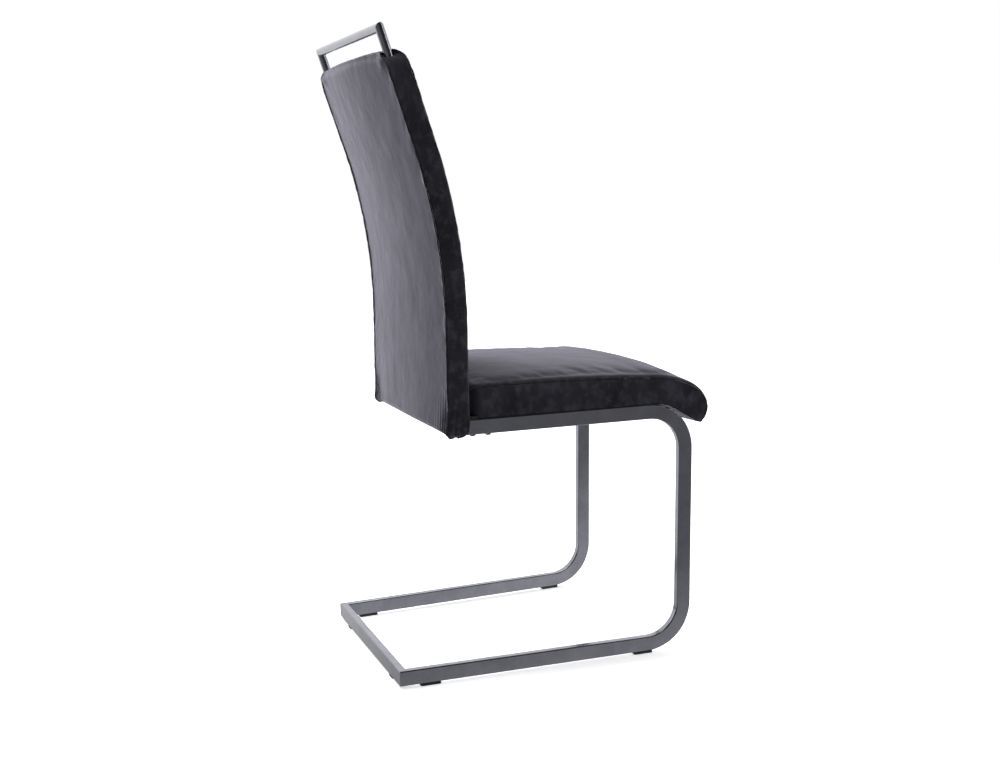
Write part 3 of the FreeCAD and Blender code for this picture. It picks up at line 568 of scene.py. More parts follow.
def seat_half_width(y, z):
    """Half width at a place; above the board the sides are drawn in round the seat's waist."""
    s = bpy.context.scene.chair_seat_pad
    share = (y - SEAT_NOSE) / (SEAT_REAR - SEAT_NOSE)
    half = (s.front_width + (s.rear_width - s.front_width) * share) / 2 / MM
    above_board = np.clip((z - DRAWN_FROM) / DRAWN_OVER, 0, 1)
    drawn = SEAT_DRAWN * (1 - ((y - WAIST_Y) / WAIST_REACH) ** 2) * above_board
    return half - drawn - rounded(y - SEAT_REAR, s.corner / MM)


def rounded(past_end, radius):
    """How far a side lies inside its straight line near an end that is rounded."""
    past = np.clip(past_end + radius, 0, radius)
    return radius - np.sqrt(radius ** 2 - past ** 2)


def on_rails(x, y, z):
    """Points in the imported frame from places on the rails' top plane."""
    cos, sin = math.cos(RAIL_FALL), math.sin(RAIL_FALL)
    return np.column_stack([x, y * cos + z * sin - FRONT_OF_POSTS, z * cos - y * sin + RAIL_TOP]) * MM


def seat_place(k, outline):
    """Points of the seat; the underside is recessed where the dust cloth lies."""
    y, z = outline.T
    half = seat_half_width(y, z)
    x = k * half
    inside = (np.abs(z) < 0.5) & (half - np.abs(x) > HEM) & (y > CLOTH_FRONT) & (y < SEAT_REAR - HEM)
    return on_rails(x, y, z + inside * CLOTH_RECESS)


# Back: stations run up its middle from the foot, offsets from the middle to the rear

BACK_LONG, BACK_SHORT = 124, 9
# It rises straight to the bend, then curves back, then leans straight to its top
BACK_Y, BACK_BOTTOM, BACK_TOP = 415.0, 400.0, 981.5
BEND_Z, BEND_R, LEAN = 569.0, 880.0, math.radians(18.6)
BEND_START, BEND_LENGTH = BEND_Z - BACK_BOTTOM, BEND_R * LEAN
LEAN_LENGTH = (BACK_TOP - BEND_Z - BEND_R * math.sin(LEAN)) / math.cos(LEAN)
STATION_TOP = BEND_START + BEND_LENGTH + LEAN_LENGTH
# Rounding at the top and at the foot, rise of the middle there, and how far the sides are drawn in
FRONT_ROUND, REAR_ROUND = 24.0, 8.0
REAR_FOOT, FOOT_DEEP, FOOT_TALL, FOOT_CORNER = 9.0, 13.0, 27.0, 9.0
TOP_CROWN, FOOT_CROWN = 5.0, 1.6
BACK_DRAWN = 2.5


def back_side(crown, edge):
    """Grid over the side of the back, as stations and offsets: rear edge, then front edge, top last."""
    b = bpy.context.scene.chair_back_pad
    half, rise, turned = b.thickness / MM / 2, b.crown / MM * crown, b.edge / MM
    top, foot = STATION_TOP + TOP_CROWN * crown, FOOT_CROWN * crown
    rear, front = half + rise - turned * edge, -half - rise + turned * edge
    round_left = REAR_ROUND * (1 - edge) + 0.5
    seam_top = rear - round_left
    rear_foot = corner((foot, rear - REAR_FOOT), (foot, rear), (foot + REAR_FOOT, rear), 12)
    rear_arc = corner((top - round_left, rear), (top, rear), (top, seam_top), 12)
    straight = arc(rear_foot[-1], (top - round_left, rear), 0, 10)
    rear_line = resample(chain(rear_foot, straight, rear_arc), BACK_LONG)
    front_foot = corner((foot, front + FOOT_DEEP), (foot, front), (foot + FOOT_TALL, front), 16)
    front_arc = corner((top - FRONT_ROUND, front), (top, front), (top, front + FRONT_ROUND), 30)
    straight = arc(front_foot[-1], (top - FRONT_ROUND, front), 0, 10)
    front_line = resample(chain(front_foot, straight, front_arc), BACK_LONG)
    top_line = resample(arc((top, seam_top), front_line[-1], 0, 10), BACK_SHORT)
    foot_line = resample(arc(rear_foot[0], front_foot[0], 0, 10), BACK_SHORT)
    return coons(rear_line, front_line, foot_line, top_line)


def back_half_width(station):
    """Half width at a station, which is the way up the middle of the back from its foot."""
    b = bpy.context.scene.chair_back_pad
    share = np.clip(station / STATION_TOP, 0, 1)
    half = (b.bottom_width + (b.top_width - b.bottom_width) * share) / 2 / MM
    drawn = BACK_DRAWN * (1 - (2 * share - 1) ** 2)
    return half - drawn - rounded(station - STATION_TOP, b.corner / MM) - rounded(-station, FOOT_CORNER)


def back_place(k, outline):
    """Points of the back, bent and leaned."""
    station, offset = outline.T
    turn = np.clip(station - BEND_START, 0, BEND_LENGTH) / BEND_R
    rest = station - BEND_START - BEND_LENGTH
    below, above = np.minimum(station - BEND_START, 0), np.maximum(rest, 0)
    y = BACK_Y + BEND_R - (BEND_R - offset) * np.cos(turn) + above * math.sin(LEAN)
    z = BEND_Z + (BEND_R - offset) * np.sin(turn) + above * math.cos(LEAN) + below
    x = k * back_half_width(station)
    return np.column_stack([x, y - FRONT_OF_POSTS, z]) * MM


# Padding: reaches and depths in millimetres, waves and puckers per metre

SIM_FRAMES = 20
CLOTH = {
    "quality": 5,
    "mass": 0.25,
    "tension_stiffness": 22,
    "compression_stiffness": 12,
    "shear_stiffness": 8,
    "bending_stiffness": 0.4,
    "use_pressure": True,
    "uniform_pressure_force": 4,
    "shrink_min": -0.012,
}
LOWER_SEAM_SHARE = 0.1
PUCKER_REACH, GROOVE_REACH = 14.0, 1.6
PUCKERS_PER_METRE, SPREAD_PER_METRE, SOFT_PER_METRE = 75, 12, 22
FOLD_HEIGHT, FOLD_REACH, FOLD_DEPTH = 45.0, 34.0, 2.4
FOLD_WAVES, FOLD_SLANT = 620, 60
DIMPLE_DEPTH, DIMPLE_REACH, POST_R = 3.2, 13.0, 7.0
# How far the painted sheen of crushed pile reaches from a seam, and how wide the painted shade in a seam's
# groove is
CRUSHED_SHEEN_REACH, SEAM_REACH = 20.0, 1.3
SHARPNESS = 0.7


def seam_tree(lines):
    """Lookup of points along the seams, with how far along its seam each one is."""
    points, along = [], []
    for line in lines:
        steps = np.linalg.norm(np.diff(line, axis=0), axis=1)
        total = np.concatenate([[0], np.cumsum(steps)])
        wanted = np.arange(0, total[-1], 1 * MM)
        points.append(np.column_stack([np.interp(wanted, total, line[:, i]) for i in range(3)]))
        along.append(wanted)
    points, along = np.vstack(points), np.concatenate(along)
    tree = KDTree(len(points))
    for number, point in enumerate(points):
        tree.insert(point, number)
    tree.balance()
    return tree, along


def seam_distance(points, lines):
    """Distance of each point to the nearest seam, and its place along that seam."""
    tree, along = seam_tree(lines)
    found = [tree.find(point) for point in points]
    return np.array([f[2] for f in found]), along[[f[1] for f in found]]


def draw_in(piece, lines, share):
    """Lets the seams draw the fabric in, by a share of their full depth."""
    s = bpy.context.scene.chair_seams
    points = coordinates(piece)
    distance, _ = seam_distance(points, lines)
    pull = share * s.depth * np.exp(-distance / s.reach * 2)
    set_coordinates(piece, points - normals(piece) * pull[:, None])


def swell(piece, held, limit):
    """Fills the pad: cloth held where told and blown up from inside, moved by no more than the limit."""
    before, out = coordinates(piece), normals(piece)
    group = piece.vertex_groups.new(name="held")
    for number in np.flatnonzero(held > 0.01):
        group.add([int(number)], float(held[number]), "REPLACE")
    cloth = piece.modifiers.new("cloth", "CLOTH")
    for name, value in CLOTH.items():
        setattr(cloth.settings, name, value)
    cloth.settings.vertex_group_mass = group.name
    cloth.settings.effector_weights.gravity = 0
    cloth.collision_settings.use_collision = False
    cloth.point_cache.frame_end = SIM_FRAMES
    for number in range(1, SIM_FRAMES + 1):
        bpy.context.scene.frame_set(number)
    bake(piece)
    bpy.context.scene.frame_set(1)
    moved = coordinates(piece) - before
    inward = np.minimum((moved * out).sum(axis=1, keepdims=True), 0)
    moved -= inward * out
    reach = np.linalg.norm(moved, axis=1, keepdims=True)
    kept = limit * np.tanh(reach / limit)
    set_coordinates(piece, before + moved * kept / np.maximum(reach, 1e-9))


def pucker(piece, lines, folds):
    """Sinks the seams to a fine groove and gathers the fabric beside them; folds gives further lift."""
    s = bpy.context.scene.chair_seams
    points, out = coordinates(piece), normals(piece)
    distance, along = seam_distance(points, lines)
    fade = np.exp(-distance / (PUCKER_REACH * MM))
    places = np.column_stack([along * PUCKERS_PER_METRE, distance * SPREAD_PER_METRE, np.zeros(len(along))])
    waves = np.array([noise.noise(Vector(place)) for place in places])
    soft = np.array([noise.noise(Vector(p) * SOFT_PER_METRE) for p in points])
    groove = s.groove * np.exp(-(distance / (GROOVE_REACH * MM)) ** 2)
    lift = waves * fade * s.pucker + soft * 0.5 * s.pucker - groove + folds(points, out)
    set_coordinates(piece, points + out * lift[:, None])


def no_folds(points, out):
    return 0


def foot_folds(points, out):
    """Upright folds where the cover is gathered round the foot's rear corners."""
    x, y, z = points.T
    b = bpy.context.scene.chair_back_pad
    rear = BACK_Y * MM + b.thickness / 2 - FRONT_OF_POSTS * MM
    round_corner = (b.bottom_width / 2 - np.abs(x)) + (y - rear)
    height = z - BACK_BOTTOM * MM
    low = np.exp(-(height / (FOLD_HEIGHT * MM)) ** 2)
    near = np.exp(-(round_corner / (FOLD_REACH * MM)) ** 2)
    near *= (y > rear - FOLD_REACH * MM) * (np.abs(out[:, 2]) < 0.8)
    return FOLD_DEPTH * MM * low * near * np.sin(round_corner * FOLD_WAVES + height * FOLD_SLANT)


def post_dimples(points, out):
    """Dips where the posts of the handle press through the top."""
    lift = np.zeros(len(points))
    for node in ("handle_post_right", "handle_post_left"):
        low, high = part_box(node)
        centre = np.array(((low[0] + high[0]) / 2, low[1] + POST_R * MM, (BACK_TOP + 1) * MM))
        away = np.linalg.norm(points - centre, axis=1)
        lift -= DIMPLE_DEPTH * MM * np.exp(-(away / (DIMPLE_REACH * MM)) ** 2)
    return lift


def back_folds(points, out):
    return foot_folds(points, out) + post_dimples(points, out)


def sharpen(piece, seams):
    """Keeps the seams and hard edges crisp when the pad is smoothed."""
    crease = piece.data.attributes.new("crease_edge", "FLOAT", "EDGE")
    marked = {frozenset(pair) for line in seams for pair in zip(line[:-1], line[1:])}
    values = [float(frozenset(edge.vertices) in marked) * SHARPNESS for edge in piece.data.edges]
    crease.data.foreach_set("value", values)


def smooth_twice_as_fine(piece):
    modifier = piece.modifiers.new("fine", "SUBSURF")
    modifier.levels = modifier.render_levels = 1
    bake(piece)


def mark_crushed_sheen_and_seam_shade(piece, lines):
    """Writes where hands have laid the pile over, on the side bands and a little along the seams, which the
    velvet lightens as painted sheen; and a narrow band at each seam, which it darkens as painted shade in the
    groove.
    """
    points = coordinates(piece)
    distance, _ = seam_distance(points, lines)
    sideways = np.clip(np.abs(normals(piece)[:, 0]) * 1.3 - 0.4, 0, 1)
    beside = 0.35 * np.exp(-distance / (CRUSHED_SHEEN_REACH * MM))
    marks = {
        "handled": np.clip(sideways + beside, 0, 1),
        "seam": np.exp(-(distance / (SEAM_REACH * MM)) ** 2),
    }
    for name, values in marks.items():
        piece.data.attributes.new(name, "FLOAT", "POINT").data.foreach_set("value", values)


# Stitches, staples, bolts

def new_tree(name, sockets):
    """Geometry tree with named inputs after its geometry; returns it with its group input and output."""
    tree = bpy.data.node_groups.new(name, "GeometryNodeTree")
    tree.interface.new_socket("Geometry", in_out="INPUT", socket_type="NodeSocketGeometry")
    for label, kind in sockets.items():
        tree.interface.new_socket(label, in_out="INPUT", socket_type="NodeSocket" + kind)
    tree.interface.new_socket("Geometry", in_out="OUTPUT", socket_type="NodeSocketGeometry")
    return tree, add(tree, "NodeGroupInput"), add(tree, "NodeGroupOutput")


def grow(piece, tree, values):
    """Runs a tree on a piece with the values given by name, and keeps the plain mesh."""
    modifier = piece.modifiers.new(tree.name, "NODES")
    modifier.node_group = tree
    sockets = {item.name: item.identifier for item in tree.interface.items_tree if item.in_out == "INPUT"}
    for name, value in values.items():
        modifier[sockets[name]] = value
    bake(piece)


def close_tree(tree, output, geometry, material):
    real = add(tree, "GeometryNodeRealizeInstances", {"Geometry": geometry})
    painted = add(tree, "GeometryNodeSetMaterial", {"Geometry": real.outputs[0], "Material": material})
    tree.links.new(painted.outputs[0], output.inputs[0])


def stitch_tree():
    """Stitches laid end to end along the edges of the mesh it is given."""
    sockets = {"Radius": "Float", "Stitch": "Float", "Gap": "Float", "Material": "Material"}
    tree, inp, out = new_tree("stitches", sockets)
    line = add(tree, "GeometryNodeMeshToCurve", {"Mesh": inp.outputs["Geometry"]}).outputs[0]
    pitch = calculate(tree, "ADD", inp.outputs["Stitch"], inp.outputs["Gap"])
    spaced = add(tree, "GeometryNodeCurveToPoints", {"Curve": line, "Length": pitch}, mode="LENGTH")
    ball = add(tree, "GeometryNodeMeshUVSphere", {"Segments": 6, "Rings": 4, "Radius": inp.outputs["Radius"]})
    slender = calculate(tree, "DIVIDE", inp.outputs["Stitch"], inp.outputs["Radius"])
    longer = calculate(tree, "MULTIPLY", slender, 0.5)
    scale = add(tree, "ShaderNodeCombineXYZ", {"X": 1.0, "Y": 1.0, "Z": longer})
    laid = add(tree, "GeometryNodeInstanceOnPoints", {
        "Points": spaced.outputs["Points"],
        "Instance": ball.outputs["Mesh"],
        "Rotation": spaced.outputs["Rotation"],
        "Scale": scale.outputs[0],
    })
    close_tree(tree, out, laid.outputs[0], inp.outputs["Material"])
    return tree


def copies_tree():
    """Copies of one object on the points of the mesh it is given, turned as each point's attribute says."""
    tree, inp, out = new_tree("copies", {"Copied": "Object", "Material": "Material"})
    source = add(tree, "GeometryNodeObjectInfo", {"Object": inp.outputs["Copied"]}).outputs["Geometry"]
    turn = add(tree, "GeometryNodeInputNamedAttribute", {"Name": "turn"}, data_type="FLOAT_VECTOR").outputs[0]
    inputs = {"Points": inp.outputs["Geometry"], "Instance": source, "Rotation": turn}
    laid = add(tree, "GeometryNodeInstanceOnPoints", inputs)
    close_tree(tree, out, laid.outputs[0], inp.outputs["Material"])
    return tree


def sew(name, lines, material):
    """Stitches along the lines, as one plain piece."""
    s = bpy.context.scene.chair_seams
    points, edges = [], []
    for line in lines:
        start = len(points)
        points += [tuple(p) for p in line]
        edges += [(start + i, start + i + 1) for i in range(len(line) - 1)]
    mesh = bpy.data.meshes.new(name)
    mesh.from_pydata(points, edges, [])
    mesh.materials.append(material)
    piece = new_object(name, mesh)
    grow(piece, stitch_tree(), {"Radius": s.thread, "Stitch": s.stitch, "Gap": s.gap, "Material": material})
    piece.data.shade_smooth()
    settle(piece, "velvet")


def solid_boxes(node):
    """Lowest and highest corner of each loose solid of a CAD node."""
    mesh = bmesh.new()
    mesh.from_mesh(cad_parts[node].data)
    bmesh.ops.remove_doubles(mesh, verts=mesh.verts, dist=1e-6)
    left, boxes = set(mesh.verts), []
    while left:
        stack = [left.pop()]
        found = list(stack)
        while stack:
            for edge in stack.pop().link_edges:
                for vert in edge.verts:
                    if vert in left:
                        left.discard(vert)
                        stack.append(vert)
                        found.append(vert)
        points = np.array([v.co for v in found])
        boxes.append((points.min(0), points.max(0)))
    mesh.free()
    return sorted(boxes, key=lambda box: tuple(box[0]))


def standing(node):
    """Where the solids of a node stand, and how tall they are in millimetres."""
    boxes = solid_boxes(node)
    places = [((low + high) * (0.5, 0.5, 0) + low * (0, 0, 1)) for low, high in boxes]
    return places, (boxes[0][1][2] - boxes[0][0][2]) / MM


def fasten(node, source, places, material, slot):
    """Puts copies of a bolt or screw, square to the rails, in place of a node's."""
    piece = scatter(node + "_detailed", source, places, [(-RAIL_FALL, 0, 0)] * len(places), material)
    settle(piece, slot, node)


def tube_faces(rings, sides):
    """Faces between rings of points that follow each other, with the first point at number 0."""
    faces = []
    for low in range(0, (rings - 1) * sides, sides):
        for i in range(sides):
            j = (i + 1) % sides
            faces.append((low + i, low + j, low + sides + j, low + sides + i))
    return faces


def turned(name, rings, material, sides=24):
    """Closed body from rings, given as radius functions and heights in millimetres, lowest first."""
    angles = np.linspace(0, 2 * math.pi, sides, endpoint=False)
    points = []
    for radius, height in rings:
        points += [(radius(a) * math.cos(a), radius(a) * math.sin(a), height) for a in angles]
    faces = tube_faces(len(rings), sides)
    points += [(0, 0, rings[0][1]), (0, 0, rings[-1][1])]
    last = (len(rings) - 1) * sides
    for i in range(sides):
        j = (i + 1) % sides
        faces += [(len(points) - 2, j, i), (len(points) - 1, last + i, last + j)]
    return new_piece(name, np.array(points) * MM, faces, material, smooth=False)


def bent_wire(name, line, radius, material, sides=8):
    """Closed round wire along a line in a plane through Z, given in millimetres."""
    points = []
    side = Vector((0, 1, 0))
    for number, at in enumerate(line):
        before = Vector(at) - Vector(line[max(number - 1, 0)])
        after = Vector(line[min(number + 1, len(line) - 1)]) - Vector(at)
        up = (before.normalized() + after.normalized()).normalized().cross(side)
        for angle in np.linspace(0, 2 * math.pi, sides, endpoint=False):
            points.append(Vector(at) + radius * (math.cos(angle) * side + math.sin(angle) * up))
    faces = [face[::-1] for face in tube_faces(len(line), sides)]
    faces += [tuple(range(sides)), tuple(reversed(range(len(points) - sides, len(points))))]
    return new_piece(name, np.array(points) * MM, faces, material)


def hexagon(across_flats):
    return lambda a: across_flats / 2 / math.cos((a + math.pi / 6) % (math.pi / 3) - math.pi / 6)


def cross(arm, width):
    """Outline of a cross recess."""
    def radius(a):
        nearest = abs((a + math.pi / 4) % (math.pi / 2) - math.pi / 4)
        return min(arm, width / max(math.sin(nearest), width / arm))
    return radius


def circle(radius):
    return lambda a: radius


def scatter(name, source, places, turns, material):
    """Copies of the source on the places, as one plain piece."""
    mesh = bpy.data.meshes.new(name)
    mesh.from_pydata([tuple(p) for p in places], [], [])
    mesh.attributes.new("turn", "FLOAT_VECTOR", "POINT").data.foreach_set("vector", np.ravel(turns))
    piece = new_object(name, mesh)
    grow(piece, copies_tree(), {"Copied": source, "Material": material})
    bpy.data.objects.remove(source)
    return piece


# Pieces

def new_pad(name, pad, width, side_grid, place):
    """Smooth pad before it is filled, with its points and the indices of its rim at each column."""
    ks = across(width / 2 / MM, pad.turn / MM)
    points, faces, rims = block(side_grid, ks, pad.turn / (width / 2), place)
    return new_piece(name, points, faces, bpy.data.materials["polyester_velvet"]), points, rims


def upholster(piece, seams, creased, held, limit, folds, replaced):
    """Swells a pad, smooths it, puckers the two seams first in the list and sews all of them."""
    lines = [coordinates(piece)[seam] for seam in seams]
    fixed = np.zeros(len(piece.data.vertices))
    for line in (*held, *seams):
        fixed[line] = 1
    swell(piece, fixed, limit)
    sharpen(piece, creased)
    smooth_twice_as_fine(piece)
    pucker(piece, lines[:2], folds)
    mark_crushed_sheen_and_seam_shade(piece, lines)
    settle(piece, "velvet", *replaced)
    sew(piece.name.replace("pad", "seams"), lines, bpy.data.materials["polyester_thread"])


class CHAIR_OT_tube_frame(bpy.types.Operator):
    """Plates the base and the handle, and finishes the glides and the hidden parts"""

    bl_idname = "chair.tube_frame"
    bl_label = "Frame and fittings"

    def execute(self, context):
        tubes = ["side_tube_right", "side_tube_left", "rear_floor_tube"]
        tubes += ["front_cross_tube", "rear_cross_tube"]
        handle = ["handle_crossbar", "handle_post_right", "handle_post_left"]
        finish_nodes(tubes + handle, dark_nickel())
        glides = ["glide_front_right", "glide_front_left", "glide_rear_right", "glide_rear_left"]
        finish_nodes(glides + ["floor_tube_glides", "rail_end_plugs"], moulded_plastic())
        finish_nodes(["seat_board", "back_core"], birch_plywood())
        finish_nodes(["back_bracket_right", "back_bracket_left"], powder_coat())
        hardware = ["bracket_screws", "handle_plugs", "handle_studs", "handle_barrel_nuts"]
        finish_nodes(hardware, zinc_plate())
        return {"FINISHED"}


class CHAIR_OT_seat_pad(bpy.types.Operator):
    """Makes the padded seat with its nose, its side bands and its seams"""

    bl_idname = "chair.seat_pad"
    bl_label = "Seat pad"

    def execute(self, context):
        pad = context.scene.chair_seat_pad
        piece, points, rims = new_pad("seat_pad", pad, pad.front_width, seat_side, seat_place)
        upper = np.arange(SEAT_LONG + SEAT_SHORT - 2, 2 * SEAT_LONG + SEAT_SHORT - 2)
        lower = np.arange(SEAT_LONG)
        seams = [rims[0][upper], rims[-1][upper], rims[0][lower], rims[-1][lower]]
        draw_in(piece, [points[seam] for seam in seams[:2]], 1.0)
        draw_in(piece, [points[seam] for seam in seams[2:]], LOWER_SEAM_SHARE)
        held = [rims[:, :SEAT_LONG].ravel(), rims[:, -SEAT_SHORT:].ravel()]
        creased = seams + [rims[:, 0]]
        upholster(piece, seams, creased, held, pad.swell, no_folds, ["seat_cover", "seat_foam"])
        return {"FINISHED"}


class CHAIR_OT_back_pad(bpy.types.Operator):
    """Makes the tall padded back with its side bands, seams and folds"""

    bl_idname = "chair.back_pad"
    bl_label = "Back pad"

    def execute(self, context):
        pad = context.scene.chair_back_pad
        piece, points, rims = new_pad("back_pad", pad, pad.bottom_width, back_side, back_place)
        rear = np.arange(BACK_LONG)
        front = np.arange(BACK_LONG + BACK_SHORT - 2, 2 * BACK_LONG + BACK_SHORT - 2)
        seams = [
            np.concatenate([rims[0][rear], rims[1:-1, rear[-1]], rims[-1][rear][::-1]]),
            np.concatenate([rims[0][front][::-1], rims[1:-1, front[0]], rims[-1][front]]),
        ]
        draw_in(piece, [points[seam] for seam in seams], 1.0)
        held = [rims[:, -BACK_SHORT:].ravel()]
        replaced = ["back_cover", "back_front_foam", "back_rear_foam"]
        upholster(piece, seams, seams, held, pad.swell, back_folds, replaced)
        return {"FINISHED"}


class CHAIR_OT_screws(bpy.types.Operator):
    """Makes the bolts under the rails and the screws under the cross tubes"""

    bl_idname = "chair.screws"
    bl_label = "Bolts and screws"

    def execute(self, context):
        steel, zinc = (bpy.data.materials[m] for m in ("dark_nickel_plated_steel", "zinc_plated_steel"))
        # Rings from the bottom of the socket out over the head and up the shank
        places, tall = standing("back_bolts")
        socket = hexagon(context.scene.chair_fittings.socket / MM)
        head = [(2.7, 0), (3.6, 0.25), (4.5, 0.85), (5.1, 1.8), (5.25, 2.5), (5.2, 3.0)]
        shank = [(3.0, 3.0), (3.0, tall)]
        rings = [(socket, 1.9), (socket, 0.15)] + [(circle(r), z) for r, z in head + shank]
        fasten("back_bolts", turned("bolt", rings, steel), places, steel, "dark_nickel")
        places, tall = standing("seat_screws")
        recess = cross(2.1, 0.55)
        head = [(2.4, 0), (3.6, 0.4), (4.3, 1.2), (4.5, 2.1), (4.5, 2.5)]
        shank = [(2.25, 2.5), (2.25, tall - 3), (0.3, tall)]
        rings = [(circle(0.3), 1.6), (recess, 0.5), (recess, 0.1)] + [(circle(r), z) for r, z in head + shank]
        fasten("seat_screws", turned("screw", rings, zinc), places, zinc, "zinc_steel")
        return {"FINISHED"}


# Places on the seat's underside, in millimetres, of the cloth and of the tubes it must clear
CROSS_TUBE_YS, CROSS_TUBE_CLEAR = (102, 325), 14
CLOTH_GAP, CLOTH_LEVEL, CLOTH_THICK = 0.4, 0.95, 0.3
CREASE_DEPTH, CREASE_WIDE, CREASE_LONG, CREASE_EDGE = 0.28, 34, 48, 9
STAPLE_INSET, STAPLE_LEVEL, STAPLE_TALL, STAPLE_R = 6, 0.45, 1.5, 0.4


class CHAIR_OT_dust_cloth(bpy.types.Operator):
    """Makes the cloth under the seat and the staples that hold it"""

    bl_idname = "chair.dust_cloth"
    bl_label = "Dust cloth"

    def execute(self, context):
        rows, columns = 60, 72
        ys = np.linspace(CLOTH_FRONT + CLOTH_GAP, SEAT_REAR - HEM - CLOTH_GAP, rows)
        points = []
        for k in np.linspace(-1, 1, columns):
            x = k * (seat_half_width(ys, 0) - HEM - CLOTH_GAP)
            creases = [noise.noise(Vector((a / CREASE_WIDE, b / CREASE_LONG, 0.3))) for a, b in zip(x, ys)]
            edge = np.minimum(1, (1 - abs(k)) * CREASE_EDGE)
            points.append(on_rails(x, ys, CLOTH_LEVEL - CREASE_DEPTH * np.abs(creases) * edge))
        grid = np.arange(rows * columns).reshape(columns, rows)
        cloth = new_piece("dust_cloth", np.vstack(points), quads(grid)[:, ::-1].tolist(), spunbond())
        thick = cloth.modifiers.new("thick", "SOLIDIFY")
        thick.thickness, thick.offset = CLOTH_THICK * MM, 0
        bake(cloth)
        settle(cloth, "dust_cloth", "seat_dust_cover")
        staple_round()
        return {"FINISHED"}


def staple_round():
    """Staples along the cloth's edge, left out where a cross tube is in the way."""
    f = bpy.context.scene.chair_fittings
    zinc = bpy.data.materials["zinc_plated_steel"]
    half, pitch, inset = f.staple / MM / 2, f.staple_pitch / MM, HEM + STAPLE_INSET
    wire = [(-half, 0, STAPLE_TALL), (-half, 0, 0), (half, 0, 0), (half, 0, STAPLE_TALL)]
    front, rear = CLOTH_FRONT + STAPLE_INSET, SEAT_REAR - inset
    places, turns = [], []
    for y in np.arange(front + pitch / 2, rear, pitch):
        if min(abs(y - tube) for tube in CROSS_TUBE_YS) > CROSS_TUBE_CLEAR:
            for sign in (-1, 1):
                places.append((sign * (seat_half_width(y, 0) - inset), y))
                turns.append((0, 0, math.pi / 2))
    for y in (front, rear):
        side = seat_half_width(y, 0) - inset - 8
        for x in np.linspace(-side, side, int(2 * side / pitch) + 1):
            places.append((x, y))
            turns.append((0, 0, 0))
    x, y = np.array(places).T
    bar = bent_wire("staple", wire, STAPLE_R, zinc)
    settle(scatter("dust_cloth_staples", bar, on_rails(x, y, STAPLE_LEVEL), turns, zinc), "zinc_steel")


class CHAIR_OT_stage(bpy.types.Operator):
    """Sets the floor, the background, the soft lights and the camera"""

    bl_idname = "chair.stage"
    bl_label = "Stage"

    def execute(self, context):
        s = context.scene.chair_stage
        make_floor(s)
        make_world()
        make_lights(s)
        make_camera()
        context.scene.view_settings.view_transform = "Standard"
        return {"FINISHED"}


# Level direction that the camera looks in
AHEAD = (0.93, -0.37, 0)
FLOOR_HALF = 8.0
# Sizes, places and targets of the lights in metres, and whether they show in reflections
LIGHTS = {
    "overhead": ((2.4, 1.8), (0.4, 0.4, 2.6), (0, 0, 0.5), True),
    "rear": ((0.5, 1.4), (1.25, 0.6, 1.0), (0.2, 0.25, 0.75), False),
    "strip": ((0.35, 1.8), (-1.6, -1.9, 1.1), (0, 0, 0.5), True),
}
# Camera fitted to the photograph's edges; the focal length is in pixels of a picture 1000 wide
CAMERA_ANGLES = (247.959, 8.809, -0.4876)
CAMERA_PLACE = (-1.98198, 1.06801 - FRONT_OF_POSTS * MM, 0.78086)
FOCAL_PIXELS, PICTURE_WIDTH, SENSOR = 1248.4042, 1000, 36


def seen_directly(tree, rays):
    return calculate(tree, "MAXIMUM", rays["Is Camera Ray"], rays["Is Transmission Ray"])


def ahead(tree, place, reach):
    """How far a place or a direction lies the way the camera looks, from 0 to 1 over the reach."""
    along = add(tree, "ShaderNodeVectorMath", {0: place, 1: AHEAD}, operation="DOT_PRODUCT").outputs["Value"]
    inputs = {"Value": along, "From Min": -reach, "From Max": reach}
    return add(tree, "ShaderNodeMapRange", inputs).outputs["Result"]


def make_floor(s):
    material, tree, shader, place = new_material("studio_floor", {"Roughness": 0.8})
    rays = add(tree, "ShaderNodeLightPath").outputs
    # The floor is lifted to white away from the chair; near it the shadow stays
    away = add(tree, "ShaderNodeVectorMath", {0: place}, operation="LENGTH").outputs["Value"]
    ring = {"Value": away, "From Min": 0.4, "From Max": 1.6, "To Min": 0.55, "To Max": 1.0}
    lift = add(tree, "ShaderNodeMapRange", ring).outputs["Result"]
    lift = calculate(tree, "MULTIPLY", seen_directly(tree, rays), lift)
    # In reflections it is white ahead of the camera and dim on the camera's side, as the room is
    mirrored = ramp(tree, ahead(tree, place, 0.5), [(0.0, grey(0.24)), (1.0, grey(1.1))])
    feed(tree, shader, {
        "Base Color": mix(tree, rays["Is Glossy Ray"], s.floor, grey(0)),
        "Emission Color": mix(tree, rays["Is Glossy Ray"], grey(1), mirrored),
        "Emission Strength": calculate(tree, "ADD", lift, rays["Is Glossy Ray"]),
    })
    corners = [(x * FLOOR_HALF, y * FLOOR_HALF, 0) for x, y in ((-1, -1), (1, -1), (1, 1), (-1, 1))]
    floor = new_piece("floor", corners, [(0, 1, 2, 3)], material, smooth=False)


def make_world():
    """White all round for the camera; for light and reflections bright ahead of it and dim behind it."""
    world = bpy.data.worlds.new("studio")
    bpy.context.scene.world = world
    world.use_nodes = True
    tree = world.node_tree
    tree.nodes.clear()
    direction = add(tree, "ShaderNodeTexCoord").outputs["Generated"]
    room = ramp(tree, ahead(tree, direction, 1.0), [(0.36, grey(0.05)), (0.68, grey(1.25))])
    rays = add(tree, "ShaderNodeLightPath").outputs
    colour_seen = mix(tree, seen_directly(tree, rays), room, grey(1))
    background = add(tree, "ShaderNodeBackground", {"Color": colour_seen, "Strength": 1.0})
    add(tree, "ShaderNodeOutputWorld", {"Surface": background.outputs[0]})


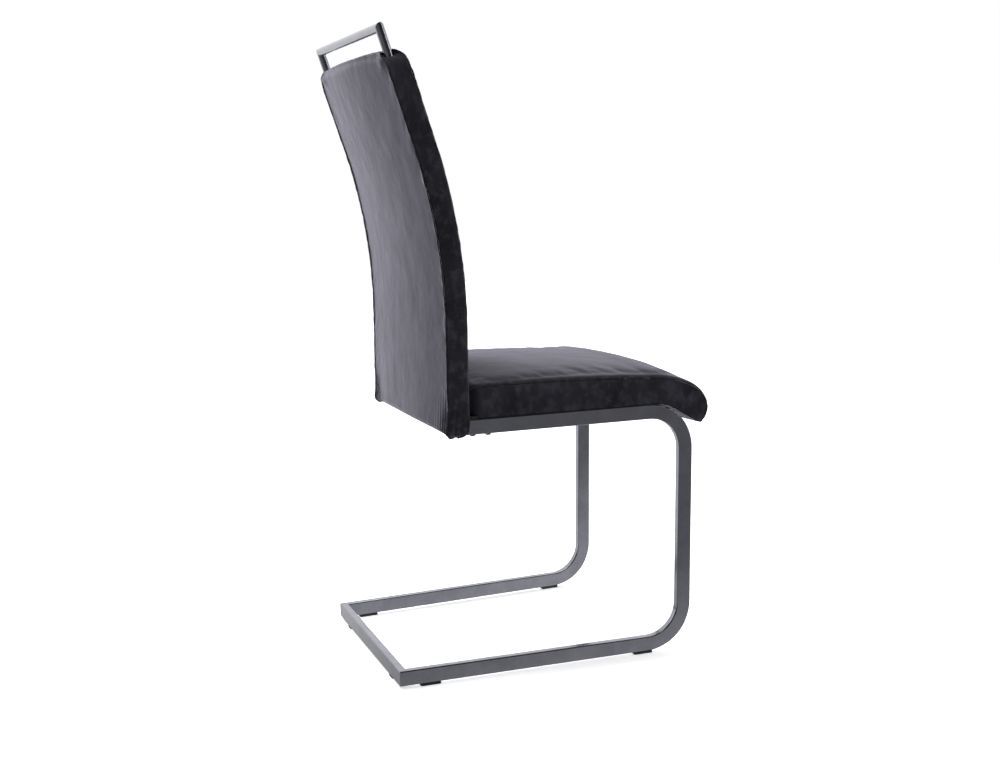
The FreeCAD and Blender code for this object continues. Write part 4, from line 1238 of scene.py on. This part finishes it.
def make_lights(s):
    powers = {"overhead": s.top_power, "rear": s.rear_power, "strip": s.front_power}
    for name, (size, place, target, shine) in LIGHTS.items():
        data = bpy.data.lights.new(name, "AREA")
        data.energy = powers[name]
        data.shape = "RECTANGLE"
        data.size, data.size_y = size
        light = new_object(name, data)
        light.location = place
        light.visible_camera = False
        light.visible_glossy = shine
        light.rotation_euler = (Vector(target) - Vector(place)).to_track_quat("-Z", "Y").to_euler()


def make_camera():
    azimuth, elevation, roll = (math.radians(a) for a in CAMERA_ANGLES)
    level_back = Vector((math.sin(azimuth), -math.cos(azimuth), 0))
    back = level_back * math.cos(elevation) + Vector((0, 0, math.sin(elevation)))
    level = (-back).cross(Vector((0, 0, 1))).normalized()
    upright = level.cross(-back)
    right = math.cos(roll) * level + math.sin(roll) * upright
    up = math.cos(roll) * upright - math.sin(roll) * level
    data = bpy.data.cameras.new("camera")
    data.sensor_fit = "HORIZONTAL"
    data.sensor_width = SENSOR
    data.lens = FOCAL_PIXELS / PICTURE_WIDTH * SENSOR
    camera = new_object("camera", data)
    turn = Matrix((right, up, back)).transposed().to_4x4()
    camera.matrix_world = Matrix.Translation(Vector(CAMERA_PLACE)) @ turn
    bpy.context.scene.camera = camera


class CHAIR_PT_panel(bpy.types.Panel):
    bl_idname = "CHAIR_PT_panel"
    bl_label = "Cantilever chair"
    bl_space_type = "VIEW_3D"
    bl_region_type = "UI"
    bl_category = "Chair"

    def draw(self, context):
        for group in SETTINGS:
            settings = getattr(context.scene, group)
            box = self.layout.box()
            for name in settings.__annotations__:
                box.prop(settings, name)
        for operator in OPERATORS:
            self.layout.operator(operator.bl_idname)


SETTINGS = {
    "chair_seat_pad": ChairSeatPad,
    "chair_back_pad": ChairBackPad,
    "chair_seams": ChairSeams,
    "chair_fittings": ChairFittings,
    "chair_colours": ChairColours,
    "chair_stage": ChairStage,
}
OPERATORS = (
    CHAIR_OT_tube_frame,
    CHAIR_OT_seat_pad,
    CHAIR_OT_back_pad,
    CHAIR_OT_screws,
    CHAIR_OT_dust_cloth,
    CHAIR_OT_stage,
)


def register():
    for cls in (*SETTINGS.values(), *OPERATORS, CHAIR_PT_panel):
        bpy.utils.register_class(cls)
    for name, cls in SETTINGS.items():
        setattr(bpy.types.Scene, name, PointerProperty(type=cls))


def unregister():
    for name in SETTINGS:
        delattr(bpy.types.Scene, name)
    for cls in (CHAIR_PT_panel, *reversed(OPERATORS), *reversed(SETTINGS.values())):
        bpy.utils.unregister_class(cls)


def main():
    register()
    velvet()
    sewing_thread()
    for operator in OPERATORS:
        group, name = operator.bl_idname.split(".")
        getattr(getattr(bpy.ops, group), name)()


if __name__ == "__main__":
    main()
